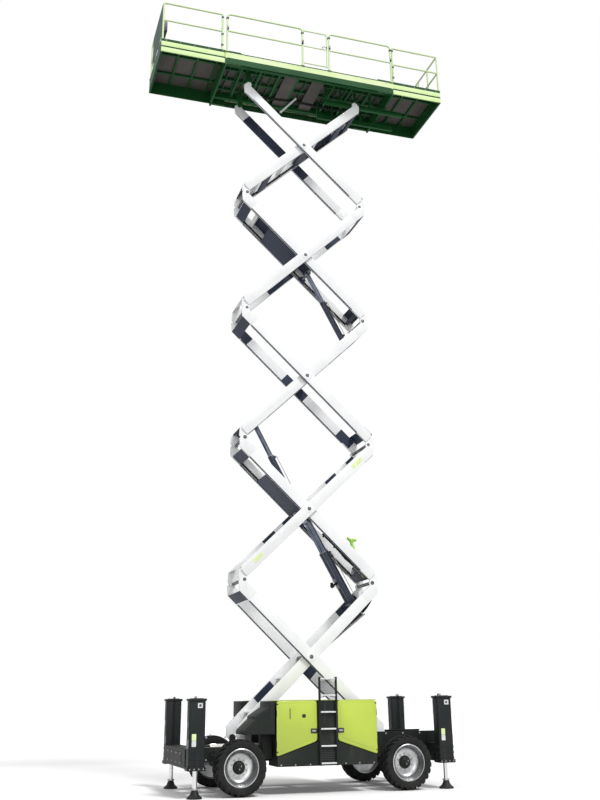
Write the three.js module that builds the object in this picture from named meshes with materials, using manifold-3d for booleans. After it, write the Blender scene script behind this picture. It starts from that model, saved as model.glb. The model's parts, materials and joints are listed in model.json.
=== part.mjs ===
// Rough-terrain scissor lift with a double-extending platform, in millimetres, +Z up.
// +X is the machine's length towards its steered axle, -Y is the side with the entry ladder.
// The origin is on the ground, under the centre of the platform.

import * as THREE from "three";
import { mergeVertices } from "three/addons/utils/BufferGeometryUtils.js";
import Module from "manifold-3d";

const wasm = await Module();
wasm.setup();

// Clearances
const seatGap = 0.3; // between pieces that touch
const pinGap = 1.3; // radial play of the linkage pins in their eyes
const slideGap = 5; // between pieces that pass each other
const glandGap = 0.6; // radial play of a rod in its gland
const hingeGap = 0.8; // radial play of a small hinge pin

// Scissor stack
const stageCount = 5;
const armLength = 3546; // pin to pin
const armAngle = 46.74; // of the pin line over the ground, as the lift stands
const armRaise = 8; // how much steeper the arms can still go
const armDepth = 200;
const armThickness = 50;
const foldGap = 10; // between folded arms
const outerArmY = 435; // outer face of the outer arms
const pairGap = 10; // between an outer and an inner arm
const earRadius = 55;
const earGap = 15; // from an ear to the neighbour's body
const elbowPinRadius = 30;
const centrePinRadius = 35;
const crossTubeSize = 80;
const stackX = 14; // centre of the raised stack
const basePinZ = 818;

// Lift cylinders: distance of the two eyes from the elbow that they open
const lowerCylinder = { near: 450, far: 1620, radius: 62, rod: 36, spread: 88 };
const upperCylinder = { near: 450, far: 1500, radius: 60, rod: 36, spread: 0 };
const eyeLift = 40; // height of an eye over the arm's middle line
const eyePinRadius = 30;
const collarRadius = 62; // of the two collars that a rod's eye lies between
const collarWidth = 15;
const collarGap = 0.8;

// Chassis
const chassisX = 30; // centre of the wheelbase
const wheelBase = 2860;
const overallWidth = 2290;
const tyreRadius = 419;
const tyreWidth = 300;
const rimRadius = 285;
const rimWall = 23;
const wheelSides = 20;
const frameBottomZ = 490;
const frameTopZ = 700;
const frameMargin = 18; // of the frame's beams beyond the roller tracks
const lugThickness = 30;
const axleHeight = 140;
const axleHalfWidth = 70;
const kingpinY = 770;
const rollerRadius = 50;
const rollerGap = 2.5;
const trackWall = 12;
const trackMargin = 11; // beyond the rollers' furthest place
const trackLead = 286; // of the tracks before the rollers' nearest place

// Outriggers
const outriggerReach = 717; // from the wheel's axle to the leg
const outriggerY = 1000;
const outriggerLength = 290;
const outriggerWidth = 230;
const outriggerBottomZ = 395;
const outriggerTopZ = 1450;
const endBeamLength = 282;
const legRadius = 32;
const legTopZ = 1050;
const footRadius = 120;
const footHeight = 95;

// Side pods
const podLeft = -825;
const podRight = 880;
const podBracket = 40; // from the frame's beams to a pod
const podOuterY = 1090;
const podBottomZ = 415;
const podTopZ = 1400;
const podWall = 20;
const doorThickness = 30;
const doorEndZ = 560; // lower edge of a door at the pod's end
const doorMiddleZ = 780; // and next to the middle panel
const panelLeft = -150;
const panelRight = 205;
const hingePinRadius = 7;
// how far back and how far down each corner of an end cover's stepped edge lies
const nearCoverSteps = [[110, 0], [110, 90], [330, 230], [330, 270], [520, 440]];
const farCoverSteps = [[155, 0], [155, 250], [80, 490]];
const coverBottomZ = 900;
const engineSize = [620, 380, 520];

// Ladder
const ladderLeft = -135;
const ladderRight = 190;
const ladderTopZ = 1765;
const ladderBottomZ = 415;
const ladderRail = 30;
const rungPitch = 240;
const rungRadius = 14;

// Platform
const deckLeft = -1810;
const deckRight = 2002;
const extensionEnd = 3160; // of both extensions, from the origin
const extensionOverlap = 350; // what stays in the main deck when an extension is out
const leftTravel = 1300;
const rightTravel = 1110;
const fasciaRise = 312; // from the top pins to the fascia's lower edge
const fasciaHeight = 148;
const fasciaY = 780;
const fasciaWall = 10;
const sideY = 758; // outer face of an extension's side plate
const sideWall = 16;
const sideDrop = 137; // of the side plate below the fascia
const mainFloorRise = 108; // from the fascia's lower edge
const mainFloorThickness = 25;
const extensionStep = 85; // of an extension's floor above the main floor
const extensionFloorThickness = 20;
const ribDepth = 90;
const ribWidth = 50;
const railRadius = 20;
const mainRailY = 783;
const extensionRailY = 735;
const topRailRise = 917; // over an extension's floor
const midRailRise = 480;
const gateLeft = -120;
const gateRight = 480;

const radians = Math.PI / 180;
const stageHeight = armLength * Math.sin(armAngle * radians);
const stageWidth = armLength * Math.cos(armAngle * radians);
const elbowX = stageWidth / 2;
const pinOffset = (armDepth + foldGap) / 2; // of a pin from the arm's middle line
const pinReach = Math.sqrt((armLength / 2) ** 2 - pinOffset ** 2);
const foldAngle = Math.asin((2 * pinOffset) / armLength);
const armTilt = armAngle * radians - foldAngle;
const topPinZ = basePinZ + stageCount * stageHeight;
const fixedPinX = stackX - elbowX;
const innerArmY = outerArmY - armThickness - pairGap;
const lugInnerY = innerArmY - armThickness - slideGap * 2 - lugThickness;
const trackOuterY = outerArmY + slideGap + rollerRadius + trackWall;
const frameInnerY = lugInnerY - slideGap;
const frameOuterY = trackOuterY + frameMargin;
const podInnerY = frameOuterY + podBracket;
const outriggerX = wheelBase / 2 + outriggerReach;
const frameHalfLength = outriggerX + outriggerLength / 2 - endBeamLength;
const raisedAngle = (armAngle + armRaise) * radians;
const trackStartX = Math.round(fixedPinX + armLength * Math.cos(raisedAngle) - trackLead);
const trackEndX = Math.round(fixedPinX + 2 * pinReach + rollerRadius + trackMargin);
const fasciaZ = Math.round(topPinZ + fasciaRise);
const mainFloorZ = fasciaZ + mainFloorRise;
const extensionFloorZ = mainFloorZ + extensionStep;
const topRailZ = extensionFloorZ + topRailRise;
const midRailZ = extensionFloorZ + midRailRise;

const paint = {
  lime: new THREE.MeshStandardMaterial({ color: 0xb7d64a, roughness: 0.42, metalness: 0 }),
  charcoal: new THREE.MeshStandardMaterial({ color: 0x2e312d, roughness: 0.6, metalness: 0 }),
  arm: new THREE.MeshStandardMaterial({ color: 0xdedfdc, roughness: 0.45, metalness: 0 }),
  tyre: new THREE.MeshStandardMaterial({ color: 0x1f2223, roughness: 0.9, metalness: 0 }),
  rim: new THREE.MeshStandardMaterial({ color: 0xb9bcbd, roughness: 0.4, metalness: 0.6 }),
  steel: new THREE.MeshStandardMaterial({ color: 0x8d9092, roughness: 0.35, metalness: 0.8 }),
};

// Solids --------------------------------------------------------------------

function solidOf(geometry) {
  geometry.deleteAttribute("normal");
  geometry.deleteAttribute("uv");
  const merged = mergeVertices(geometry, 1e-4);
  const mesh = new wasm.Mesh({
    numProp: 3,
    vertProperties: new Float32Array(merged.attributes.position.array),
    triVerts: new Uint32Array(merged.index.array),
  });
  return new wasm.Manifold(mesh);
}

function box([x0, x1], [y0, y1], [z0, z1]) {
  const geometry = new THREE.BoxGeometry(x1 - x0, y1 - y0, z1 - z0);
  geometry.translate((x0 + x1) / 2, (y0 + y1) / 2, (z0 + z1) / 2);
  return solidOf(geometry);
}

// A round bar along an axis, from one place on it to another; at holds the other two coordinates.
function bar(axis, [start, end], at, radius, segments = 12, endRadius = radius) {
  const geometry = new THREE.CylinderGeometry(endRadius, radius, end - start, segments);
  const middle = (start + end) / 2;
  if (axis === "x") {
    geometry.rotateZ(-Math.PI / 2);
    geometry.translate(middle, at[0], at[1]);
  } else if (axis === "y") {
    geometry.translate(at[0], middle, at[1]);
  } else {
    geometry.rotateX(Math.PI / 2);
    geometry.translate(at[0], at[1], middle);
  }
  return solidOf(geometry);
}

// An outline of [x, z] points, as thick as the stretch of y.
function plate(outline, [y0, y1]) {
  const shape = new THREE.Shape(outline.map(([x, z]) => new THREE.Vector2(x, z)));
  const geometry = new THREE.ExtrudeGeometry(shape, { depth: y1 - y0, bevelEnabled: false });
  geometry.rotateX(Math.PI / 2);
  geometry.translate(0, y1, 0);
  return solidOf(geometry);
}

// A profile of [radius, y] points turned about the Y axis.
function turned(profile, segments) {
  const points = profile.map(([radius, y]) => new THREE.Vector2(radius, y));
  return solidOf(new THREE.LatheGeometry(points, segments));
}

const joined = (solids) => solids.reduce((whole, solid) => whole.add(solid));
const sorted = (a, b) => [Math.min(a, b), Math.max(a, b)];
const sideSpan = (side, a, b) => sorted(side * a, side * b);

function piece(parent, name, solid, material, place = [0, 0, 0], turnY = 0) {
  const { vertProperties, triVerts } = solid.getMesh();
  const geometry = new THREE.BufferGeometry();
  geometry.setAttribute("position", new THREE.BufferAttribute(vertProperties, 3));
  geometry.setIndex(new THREE.BufferAttribute(triVerts, 1));
  geometry.computeVertexNormals();
  const mesh = new THREE.Mesh(geometry, material);
  mesh.name = name;
  mesh.position.set(...place);
  mesh.rotation.y = turnY;
  parent.add(mesh);
  return mesh;
}

const machine = new THREE.Group();
const chassis = new THREE.Group();
chassis.position.x = chassisX;
machine.add(chassis);

// Chassis frame ---------------------------------------------------------------

const tiedX = (x) => x - chassisX; // from the machine's frame to the chassis group's

function rollerTrack(side) {
  const floorZ = basePinZ - rollerRadius - rollerGap;
  const roofZ = basePinZ + rollerRadius + rollerGap;
  const inner = outerArmY + slideGap;
  const outer = trackOuterY;
  const length = [tiedX(trackStartX), tiedX(trackEndX)];
  const overFrame = [length[0], frameHalfLength];
  return joined([
    box(overFrame, sideSpan(side, inner, outer), [frameTopZ - 1, floorZ]),
    box(length, sideSpan(side, inner, outer), [frameTopZ + seatGap, floorZ]),
    box(length, sideSpan(side, outer - trackWall, outer), [floorZ - 1, roofZ + trackWall]),
    box(length, sideSpan(side, inner, outer), [roofZ, roofZ + trackWall]),
  ]);
}

// The fixed lug that carries an inner arm of the lowest stage on its pin.
function baseLug(side) {
  const x = tiedX(fixedPinX);
  const span = sideSpan(side, lugInnerY, lugInnerY + lugThickness);
  return joined([
    box([x - earRadius, x + earRadius], span, [frameTopZ - 1, basePinZ]),
    bar("y", span, [x, basePinZ], earRadius),
    bar("y", sideSpan(side, lugInnerY, innerArmY), [x, basePinZ], elbowPinRadius),
  ]);
}

function chassisFrame() {
  const parts = [];
  for (const side of [-1, 1]) {
    const span = [-frameHalfLength - 1, frameHalfLength + 1];
    parts.push(box(span, sideSpan(side, frameInnerY, frameOuterY), [frameBottomZ, frameTopZ]));
    parts.push(rollerTrack(side));
    parts.push(baseLug(side));
    // brackets that carry the side pods
    for (const x of [podLeft + 150, podRight - 250]) {
      const reach = sideSpan(side, frameOuterY - 1, podInnerY - seatGap);
      parts.push(box([x, x + 100], reach, [frameBottomZ + 40, frameTopZ - 40]));
    }
  }
  for (const x of [-1700, -900, 0, 900, 1700]) {
    const depth = [frameBottomZ + 30, frameTopZ - 20];
    parts.push(box([x - 60, x + 60], [-frameInnerY - 1, frameInnerY + 1], depth));
  }
  return joined(parts);
}

piece(chassis, "chassis_frame", chassisFrame(), paint.charcoal);

// The end beams reach out to the outrigger boxes.
for (const [end, name] of [[-1, "rear"], [1, "front"]]) {
  const inner = frameHalfLength + 1 + seatGap;
  const outer = outriggerX + outriggerLength / 2;
  const reach = outriggerY - outriggerWidth / 2 - seatGap;
  const beam = box(sideSpan(end, inner, outer), [-reach, reach], [420, frameTopZ]);
  piece(chassis, `end_beam_${name}`, beam, paint.charcoal);
}

// Axles, knuckles, wheels -----------------------------------------------------------

const wheelY = overallWidth / 2 - tyreWidth / 2;
const discInnerT = -60; // inner face of the rim's disc, from the wheel's middle
const stubEndY = wheelY + discInnerT - seatGap;
const axleTopZ = frameBottomZ - seatGap;
const axleSpan = [axleTopZ - axleHeight, axleTopZ];

function rearAxle() {
  const x = -wheelBase / 2;
  const beam = box([x - axleHalfWidth, x + axleHalfWidth], [-wheelY + 180, wheelY - 180], axleSpan);
  return beam.add(bar("y", [-stubEndY, stubEndY], [x, tyreRadius], 55));
}

const yokePlate = 18;
const yokeReach = 50;

function frontAxle() {
  const x = wheelBase / 2;
  const beamEnd = kingpinY - yokeReach - slideGap;
  const width = [x - axleHalfWidth, x + axleHalfWidth];
  const parts = [box(width, [-beamEnd, beamEnd], axleSpan)];
  const [low, high] = axleSpan;
  const narrow = [x - yokeReach, x + yokeReach];
  for (const side of [-1, 1]) {
    // round-ended plates, which leave room for the turned tyre
    for (const plate of [[high - yokePlate, high], [low, low + yokePlate]]) {
      parts.push(box(narrow, sideSpan(side, beamEnd - 1, kingpinY), plate));
      parts.push(bar("z", plate, [x, side * kingpinY], yokeReach));
    }
  }
  let axle = joined(parts);
  for (const side of [-1, 1]) {
    const hole = bar("z", [low - 5, high + 5], [x, side * kingpinY], 20 + hingeGap);
    axle = axle.subtract(hole);
  }
  return axle;
}

function knuckle(side) {
  const x = wheelBase / 2;
  const [low, high] = axleSpan;
  const barrel = [low + yokePlate + slideGap, high - yokePlate - slideGap];
  return joined([
    bar("z", barrel, [x, side * kingpinY], yokeReach),
    bar("z", [low, high], [x, side * kingpinY], 20),
    bar("y", sideSpan(side, kingpinY, stubEndY), [x, tyreRadius], 40),
    box([x - 190, x - 20], sideSpan(side, kingpinY + 5, kingpinY + 45), [tyreRadius - 15, tyreRadius + 15]),
  ]);
}

piece(chassis, "rear_axle", rearAxle(), paint.charcoal);
piece(chassis, "front_axle", frontAxle(), paint.charcoal);
piece(chassis, "knuckle_near", knuckle(-1), paint.charcoal);
piece(chassis, "knuckle_far", knuckle(1), paint.charcoal);

const rimProfile = [
  [0, discInnerT], [rimRadius - rimWall, discInnerT], [rimRadius - rimWall, -tyreWidth / 2 + 12],
  [rimRadius, -tyreWidth / 2 + 12], [rimRadius, tyreWidth / 2 - 12],
  [rimRadius - rimWall, tyreWidth / 2 - 12], [rimRadius - rimWall - 12, discInnerT + 30],
  [95, discInnerT + 30], [88, 70], [0, 70],
];
const beadRadius = rimRadius + 0.7;
const tyreProfile = [
  [beadRadius, -tyreWidth / 2 + 20], [tyreRadius - 85, -tyreWidth / 2],
  [tyreRadius - 30, -tyreWidth / 2], [tyreRadius, -tyreWidth / 2 + 45],
  [tyreRadius, tyreWidth / 2 - 45], [tyreRadius - 30, tyreWidth / 2],
  [tyreRadius - 85, tyreWidth / 2], [beadRadius, tyreWidth / 2 - 20],
];

function wheel(name, x, side) {
  const turn = side > 0 ? (profile) => profile : (profile) => profile.map(([r, y]) => [r, -y]).reverse();
  const closed = (profile) => [...profile, profile[0]];
  const place = [x, side * wheelY, tyreRadius];
  piece(chassis, `rim_${name}`, turned(turn(rimProfile), wheelSides), paint.rim, place);
  piece(chassis, `tyre_${name}`, turned(closed(turn(tyreProfile)), wheelSides), paint.tyre, place);
}

wheel("front_near", wheelBase / 2, -1);
wheel("front_far", wheelBase / 2, 1);
wheel("rear_near", -wheelBase / 2, -1);
wheel("rear_far", -wheelBase / 2, 1);

// Outriggers --------------------------------------------------------------------

function outriggerBox() {
  const half = [outriggerLength / 2, outriggerWidth / 2];
  const shell = box([-half[0], half[0]], [-half[1], half[1]], [outriggerBottomZ, outriggerTopZ]);
  const bore = bar("z", [outriggerBottomZ + 30, outriggerTopZ - 40], [0, 0], legRadius + 20);
  const gland = bar("z", [outriggerBottomZ - 1, outriggerBottomZ + 31], [0, 0], legRadius + glandGap);
  return shell.subtract(bore.add(gland));
}

function outriggerLeg() {
  return joined([
    bar("z", [footHeight - 1, legTopZ], [0, 0], legRadius),
    bar("z", [25, footHeight], [0, 0], footRadius, 16, legRadius + 26),
    bar("z", [0, 25.5], [0, 0], footRadius, 16),
  ]);
}

for (const [end, endName] of [[-1, "rear"], [1, "front"]]) {
  for (const [side, sideName] of [[-1, "near"], [1, "far"]]) {
    const place = [end * outriggerX, side * outriggerY, 0];
    piece(chassis, `outrigger_box_${endName}_${sideName}`, outriggerBox(), paint.charcoal, place);
    piece(chassis, `outrigger_leg_${endName}_${sideName}`, outriggerLeg(), paint.steel, place);
  }
}

// Side pods -----------------------------------------------------------------------

const doorBackY = podOuterY - doorThickness;
const podFrontY = doorBackY - slideGap;
const hingeY = podOuterY - 12;
const hingeOut = 14; // of the hinge pin from the pod's end
const doorEdge = 40; // width of the pod's frame behind a door's edge

function pod(side) {
  const depth = (a, b) => sideSpan(side, a, b);
  let body = box([podLeft, podRight], depth(podInnerY, podFrontY), [podBottomZ, podTopZ]);
  const hollow = box([podLeft + podWall, podRight - podWall], depth(podInnerY + podWall, podFrontY - podWall),
    [podBottomZ + podWall, podTopZ - podWall]);
  body = body.subtract(hollow);
  const cut = [podFrontY - podWall - 1, podFrontY + 1];
  const [topZ, endZ, middleZ] = [podTopZ - doorEdge, doorEndZ + doorEdge, doorMiddleZ + doorEdge];
  const leftHole = [
    [podLeft + doorEdge, endZ], [panelLeft - doorEdge, middleZ],
    [panelLeft - doorEdge, topZ], [podLeft + doorEdge, topZ],
  ];
  const rightHole = [
    [panelRight + doorEdge, middleZ], [podRight - doorEdge, endZ],
    [podRight - doorEdge, topZ], [panelRight + doorEdge, topZ],
  ];
  body = body.subtract(plate(leftHole, depth(...cut))).subtract(plate(rightHole, depth(...cut)));
  // the fixed middle panel and the sill under the doors come forward to the doors' face
  const panel = [panelLeft + slideGap, panelRight - slideGap];
  body = body.add(box(panel, depth(podFrontY - 1, podOuterY), [podBottomZ, podTopZ]));
  const sillLeft = [
    [podLeft, podBottomZ], [panel[0] + 1, podBottomZ],
    [panel[0] + 1, doorMiddleZ - slideGap], [podLeft, doorEndZ - slideGap],
  ];
  const sillRight = [
    [panel[1] - 1, podBottomZ], [podRight, podBottomZ],
    [podRight, doorEndZ - slideGap], [panel[1] - 1, doorMiddleZ - slideGap],
  ];
  body = body.add(plate(sillLeft, depth(podFrontY - 1, podOuterY)));
  body = body.add(plate(sillRight, depth(podFrontY - 1, podOuterY)));
  for (const x of [podLeft - hingeOut, podRight + hingeOut]) {
    const inward = x < 0 ? 1 : -1;
    body = body.add(bar("z", [doorEndZ + 60, podTopZ - 40], [x, side * hingeY], hingePinRadius, 8));
    for (const z of [doorEndZ + 60, podTopZ - 60]) {
      const arm = sorted(x - inward * hingePinRadius, x + inward * (hingeOut + 10));
      body = body.add(box(arm, depth(podFrontY - 20, podOuterY), [z, z + 20]));
    }
  }
  return body;
}

function podDoor(side, end) {
  const depth = sideSpan(side, doorBackY, podOuterY);
  const top = podTopZ - slideGap;
  const outline = end < 0
    ? [[podLeft, doorEndZ], [panelLeft, doorMiddleZ], [panelLeft, top], [podLeft, top]]
    : [[panelRight, doorMiddleZ], [podRight, doorEndZ], [podRight, top], [panelRight, top]];
  const x = end < 0 ? podLeft - hingeOut : podRight + hingeOut;
  const edge = end < 0 ? podLeft : podRight;
  let door = plate(outline, depth);
  // notches round the two brackets that hold the hinge pin
  for (const z of [doorEndZ + 60, podTopZ - 60]) {
    const notch = sorted(edge + end, edge - end * (10 + slideGap));
    door = door.subtract(box(notch, sideSpan(side, doorBackY - 1, podOuterY + 1), [z - slideGap, z + 20 + slideGap]));
  }
  for (const z of [doorEndZ + 140, podTopZ - 240]) {
    const knuckleSpan = [z, z + 100];
    door = door.add(bar("z", knuckleSpan, [x, side * hingeY], hingePinRadius + 5, 8));
    const strap = sorted(x, edge - end * 5);
    door = door.add(box(strap, sideSpan(side, hingeY - 5, hingeY + 5), knuckleSpan));
    door = door.subtract(bar("z", [z - 1, z + 101], [x, side * hingeY], hingePinRadius + hingeGap, 8));
  }
  return door;
}

function endCover(side) {
  const reach = sideSpan(side, podInnerY, podOuterY);
  const start = podLeft - hingeOut - 30;
  const steps = side < 0 ? nearCoverSteps : farCoverSteps;
  const outline = [
    [start, coverBottomZ], [start, podTopZ],
    ...steps.map(([back, down]) => [start - back, podTopZ - down]),
    [start - steps.at(-1)[0], coverBottomZ],
  ];
  const body = plate(outline.reverse(), reach);
  // the cover is held by a rail along the pod's inner edge
  const rail = box([start - 1, podLeft - seatGap], sideSpan(side, podInnerY, podInnerY + 60),
    [coverBottomZ + 50, podTopZ - 50]);
  return body.add(rail);
}

for (const [side, name] of [[-1, "near"], [1, "far"]]) {
  piece(chassis, `pod_${name}`, pod(side), paint.charcoal);
  piece(chassis, `pod_door_rear_${name}`, podDoor(side, -1), paint.lime);
  piece(chassis, `pod_door_front_${name}`, podDoor(side, 1), paint.lime);
  piece(chassis, `end_cover_${name}`, endCover(side), paint.charcoal);
}

const engineFloorZ = podBottomZ + podWall + seatGap;
const engineX = podLeft + 120;
const engine = box([engineX, engineX + engineSize[0]], [podInnerY + 50, podInnerY + 50 + engineSize[1]],
  [engineFloorZ, engineFloorZ + engineSize[2]]);
piece(chassis, "engine_block", engine, paint.steel);

function ladder() {
  const outerY = -overallWidth / 2;
  const parts = [];
  for (const x of [ladderLeft, ladderRight - ladderRail]) {
    parts.push(box([x, x + ladderRail], [outerY, outerY + ladderRail], [ladderBottomZ, ladderTopZ]));
    for (const z of [ladderBottomZ + 60, podTopZ - 100]) {
      const reach = [outerY + ladderRail - 1, -podOuterY - seatGap];
      parts.push(box([x, x + ladderRail], reach, [z, z + 40]));
    }
  }
  const rungCount = Math.floor((ladderTopZ - ladderBottomZ - 60) / rungPitch);
  for (let i = 0; i <= rungCount; i += 1) {
    const z = ladderTopZ - 30 - i * rungPitch;
    const span = [ladderLeft + ladderRail - 1, ladderRight - ladderRail + 1];
    parts.push(bar("x", span, [outerY + ladderRail / 2, z], rungRadius, 8));
  }
  return joined(parts);
}

piece(chassis, "ladder", ladder(), paint.charcoal);

// Scissor arms ------------------------------------------------------------------------
// An arm is drawn lying level, its crossing pin at the origin. rise is +1 for an arm that climbs
// towards +X and -1 for one that falls: its left pin is then below or above its middle line.

function armOutline(rise) {
  const end = pinReach - earRadius - earGap;
  const half = armDepth / 2;
  const chamfer = earRadius + earGap;
  const shape = [
    [-end, -rise * half], [end - chamfer * 0.6, -rise * half],
    [end, -rise * (half - chamfer * 0.6)], [end, rise * half],
    [-end + chamfer * 0.6, rise * half], [-end, rise * (half - chamfer * 0.6)],
  ];
  return rise > 0 ? shape : shape.reverse();
}

// The flat ear that carries the pin at the arm's left or right end.
function ear(rise, end, layer) {
  const pinZ = end * rise * pinOffset;
  const up = -Math.sign(pinZ); // from the pin into the arm
  const tip = pinReach + earRadius;
  const root = pinReach - 320;
  const half = armDepth / 2;
  const outline = [
    [tip, pinZ], [tip, pinZ + up * 95], [tip - 120, up * half], [root, up * half],
    [root, -up * half], [pinReach - earRadius - earGap, -up * half], [pinReach - earRadius, pinZ],
  ].map(([x, z]) => [end * x, z]);
  const turns = end * up > 0;
  const disc = bar("y", layer, [end * pinReach, pinZ], earRadius, 12);
  return plate(turns ? outline : outline.reverse(), layer).add(disc);
}

const pinHole = (end, pinZ, layer) =>
  bar("y", [layer[0] - 1, layer[1] + 1], [end * pinReach, pinZ], elbowPinRadius + pinGap);

// One arm of a frame. Its lower end lies in the inner half of its thickness and its upper end in
// the outer half, so that two arms of one plane meet at an elbow.
function arm(side, outerY, rise, stage) {
  const innerY = outerY - armThickness;
  const middle = outerY - armThickness / 2;
  const whole = sideSpan(side, innerY, outerY);
  const outerHalf = sideSpan(side, middle + 1, outerY);
  const innerHalf = sideSpan(side, innerY, middle - 1);
  const lowerEnd = -rise;
  const lowerLayer = stage === 1 ? whole : innerHalf;
  const upperLayer = stage === stageCount ? whole : outerHalf;
  const lowerPinZ = lowerEnd * rise * pinOffset;
  const upperPinZ = -lowerPinZ;
  let solid = plate(armOutline(rise), whole);
  solid = solid.add(ear(rise, lowerEnd, lowerLayer)).add(ear(rise, -lowerEnd, upperLayer));
  const turnsOnLowerPin = stage > 1 || outerY === innerArmY;
  if (turnsOnLowerPin) solid = solid.subtract(pinHole(lowerEnd, lowerPinZ, lowerLayer));
  const turnsOnUpperPin = stage === stageCount && outerY === outerArmY;
  if (turnsOnUpperPin) solid = solid.subtract(pinHole(-lowerEnd, upperPinZ, upperLayer));
  if (outerY === innerArmY) {
    const hole = bar("y", [whole[0] - 1, whole[1] + 1], [0, 0], centrePinRadius + pinGap);
    solid = solid.subtract(hole);
  }
  return solid;
}

// Odd stages have their falling arms outside, even stages their climbing arms.
const outerRise = (stage) => (stage % 2 === 1 ? -1 : 1);

function roller(side, [start, end], x, z, shaftRadius, radius) {
  const [a, b] = sideSpan(side, start, end);
  return bar("y", [a, b], [x, z], radius, 16).add(bar("y", sideSpan(side, start - 30, end), [x, z], shaftRadius));
}

function outerFrame(stage) {
  const rise = outerRise(stage);
  const lowerEnd = -rise;
  const parts = [-1, 1].map((side) => arm(side, outerArmY, rise, stage));
  parts.push(bar("y", [-outerArmY, outerArmY], [0, 0], centrePinRadius));
  if (stage < stageCount) {
    parts.push(bar("y", [-outerArmY, outerArmY], [-lowerEnd * pinReach, pinOffset], elbowPinRadius));
  }
  if (stage === 1) {
    const x = lowerEnd * pinReach;
    parts.push(bar("y", [-outerArmY, outerArmY], [x, -pinOffset], 25));
    for (const side of [-1, 1]) {
      const span = [outerArmY + slideGap + 3, outerArmY + slideGap + rollerRadius - 6];
      parts.push(roller(side, span, x, -pinOffset, 25, rollerRadius));
    }
  }
  return joined(parts);
}

const topRollerRadius = 42;

function innerFrame(stage, tubes, eyes) {
  const rise = -outerRise(stage);
  const lowerEnd = -rise;
  const inner = innerArmY - armThickness;
  const parts = [-1, 1].map((side) => arm(side, innerArmY, rise, stage));
  const half = crossTubeSize / 2;
  for (const x of tubes) {
    parts.push(box([x - half, x + half], [-inner - 1, inner + 1], [-half, half]));
  }
  for (const { at, halfWidth } of eyes) {
    if (halfWidth === 0) {
      parts.push(bar("y", [-inner - 1, inner + 1], at, eyePinRadius));
    } else {
      // the rod's eye hangs between two collars, each on a stub of its own
      for (const side of [-1, 1]) {
        const start = halfWidth + collarGap;
        parts.push(bar("y", sideSpan(side, start, start + collarWidth), at, collarRadius));
        parts.push(bar("y", sideSpan(side, start + 1, inner + 1), at, eyePinRadius));
      }
    }
  }
  if (stage < stageCount) {
    parts.push(bar("y", [-innerArmY, innerArmY], [-lowerEnd * pinReach, pinOffset], elbowPinRadius));
  } else {
    const x = -lowerEnd * pinReach;
    for (const side of [-1, 1]) {
      const span = sideSpan(side, inner - 13 - rollerRadius + 6, inner - 13);
      parts.push(bar("y", span, [x, pinOffset], topRollerRadius, 16));
      parts.push(bar("y", sideSpan(side, inner - 20, inner + 5), [x, pinOffset], 22));
    }
  }
  return joined(parts);
}

// Where an eye sits on a frame that has its elbow at the given end, and which way the frame looks.
const eyeAt = (end, distance, up) => [end * (pinReach - distance), up * eyeLift];

// Each cylinder opens the elbow between one stage and the next.
const cylinders = [
  { name: "lower", stage: 1, elbow: 1, barrel: lowerCylinder.near, rodEye: lowerCylinder.far, size: lowerCylinder },
  { name: "middle", stage: 2, elbow: -1, barrel: upperCylinder.far, rodEye: upperCylinder.near, size: upperCylinder },
  { name: "upper", stage: 3, elbow: 1, barrel: upperCylinder.near, rodEye: upperCylinder.far, size: upperCylinder },
];

function frameEyes(stage) {
  const eyes = [];
  for (const { stage: below, elbow, barrel, rodEye, size } of cylinders) {
    if (below === stage) eyes.push({ at: eyeAt(elbow, barrel, 1), halfWidth: 0 });
    if (below + 1 === stage) {
      eyes.push({ at: eyeAt(elbow, rodEye, -1), halfWidth: size.spread + size.radius });
    }
  }
  return eyes;
}

// Cross tubes by their distance from the elbow pins: at an arm's end, beyond it, and near its middle.
const tubeAtEnd = pinReach - 190;
const tubeBeyond = pinReach - 470;
const tubeNearMiddle = pinReach - 1270;
const crossTubes = {
  1: [-tubeBeyond, -tubeNearMiddle],
  2: [-tubeAtEnd, tubeAtEnd],
  3: [-tubeAtEnd, tubeAtEnd],
  4: [-tubeBeyond, -tubeNearMiddle, tubeAtEnd],
  5: [-tubeBeyond, -tubeNearMiddle, tubeNearMiddle, tubeBeyond],
};

const crossingZ = (stage) => basePinZ + (stage - 0.5) * stageHeight;

for (let stage = 1; stage <= stageCount; stage += 1) {
  const rise = outerRise(stage);
  const place = [stackX, 0, crossingZ(stage)];
  piece(machine, `arms_${stage}_outer`, outerFrame(stage), paint.arm, place, -rise * armTilt);
  const inner = innerFrame(stage, crossTubes[stage], frameEyes(stage));
  piece(machine, `arms_${stage}_inner`, inner, paint.arm, place, rise * armTilt);
}

// Lift cylinders --------------------------------------------------------------------------

function frameToMachine([x, z], stage, rise, tilt) {
  const angle = rise * tilt;
  return [
    stackX + x * Math.cos(angle) - z * Math.sin(angle),
    crossingZ(stage) + x * Math.sin(angle) + z * Math.cos(angle),
  ];
}

// The distance between the two eyes when the frames on both sides of the elbow stand at a tilt.
function eyeDistance({ elbow, barrel, rodEye }, tilt) {
  const hinge = [elbow * pinReach, pinOffset];
  const below = eyeAt(elbow, barrel, 1);
  const above = eyeAt(elbow, rodEye, -1);
  const turn = ([x, z], angle) => [
    x * Math.cos(angle) - z * Math.sin(angle),
    x * Math.sin(angle) + z * Math.cos(angle),
  ];
  const a = turn([below[0] - hinge[0], below[1] - hinge[1]], elbow * tilt);
  const b = turn([above[0] - hinge[0], above[1] + hinge[1]], -elbow * tilt);
  return Math.hypot(a[0] - b[0], a[1] - b[1]);
}

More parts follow.
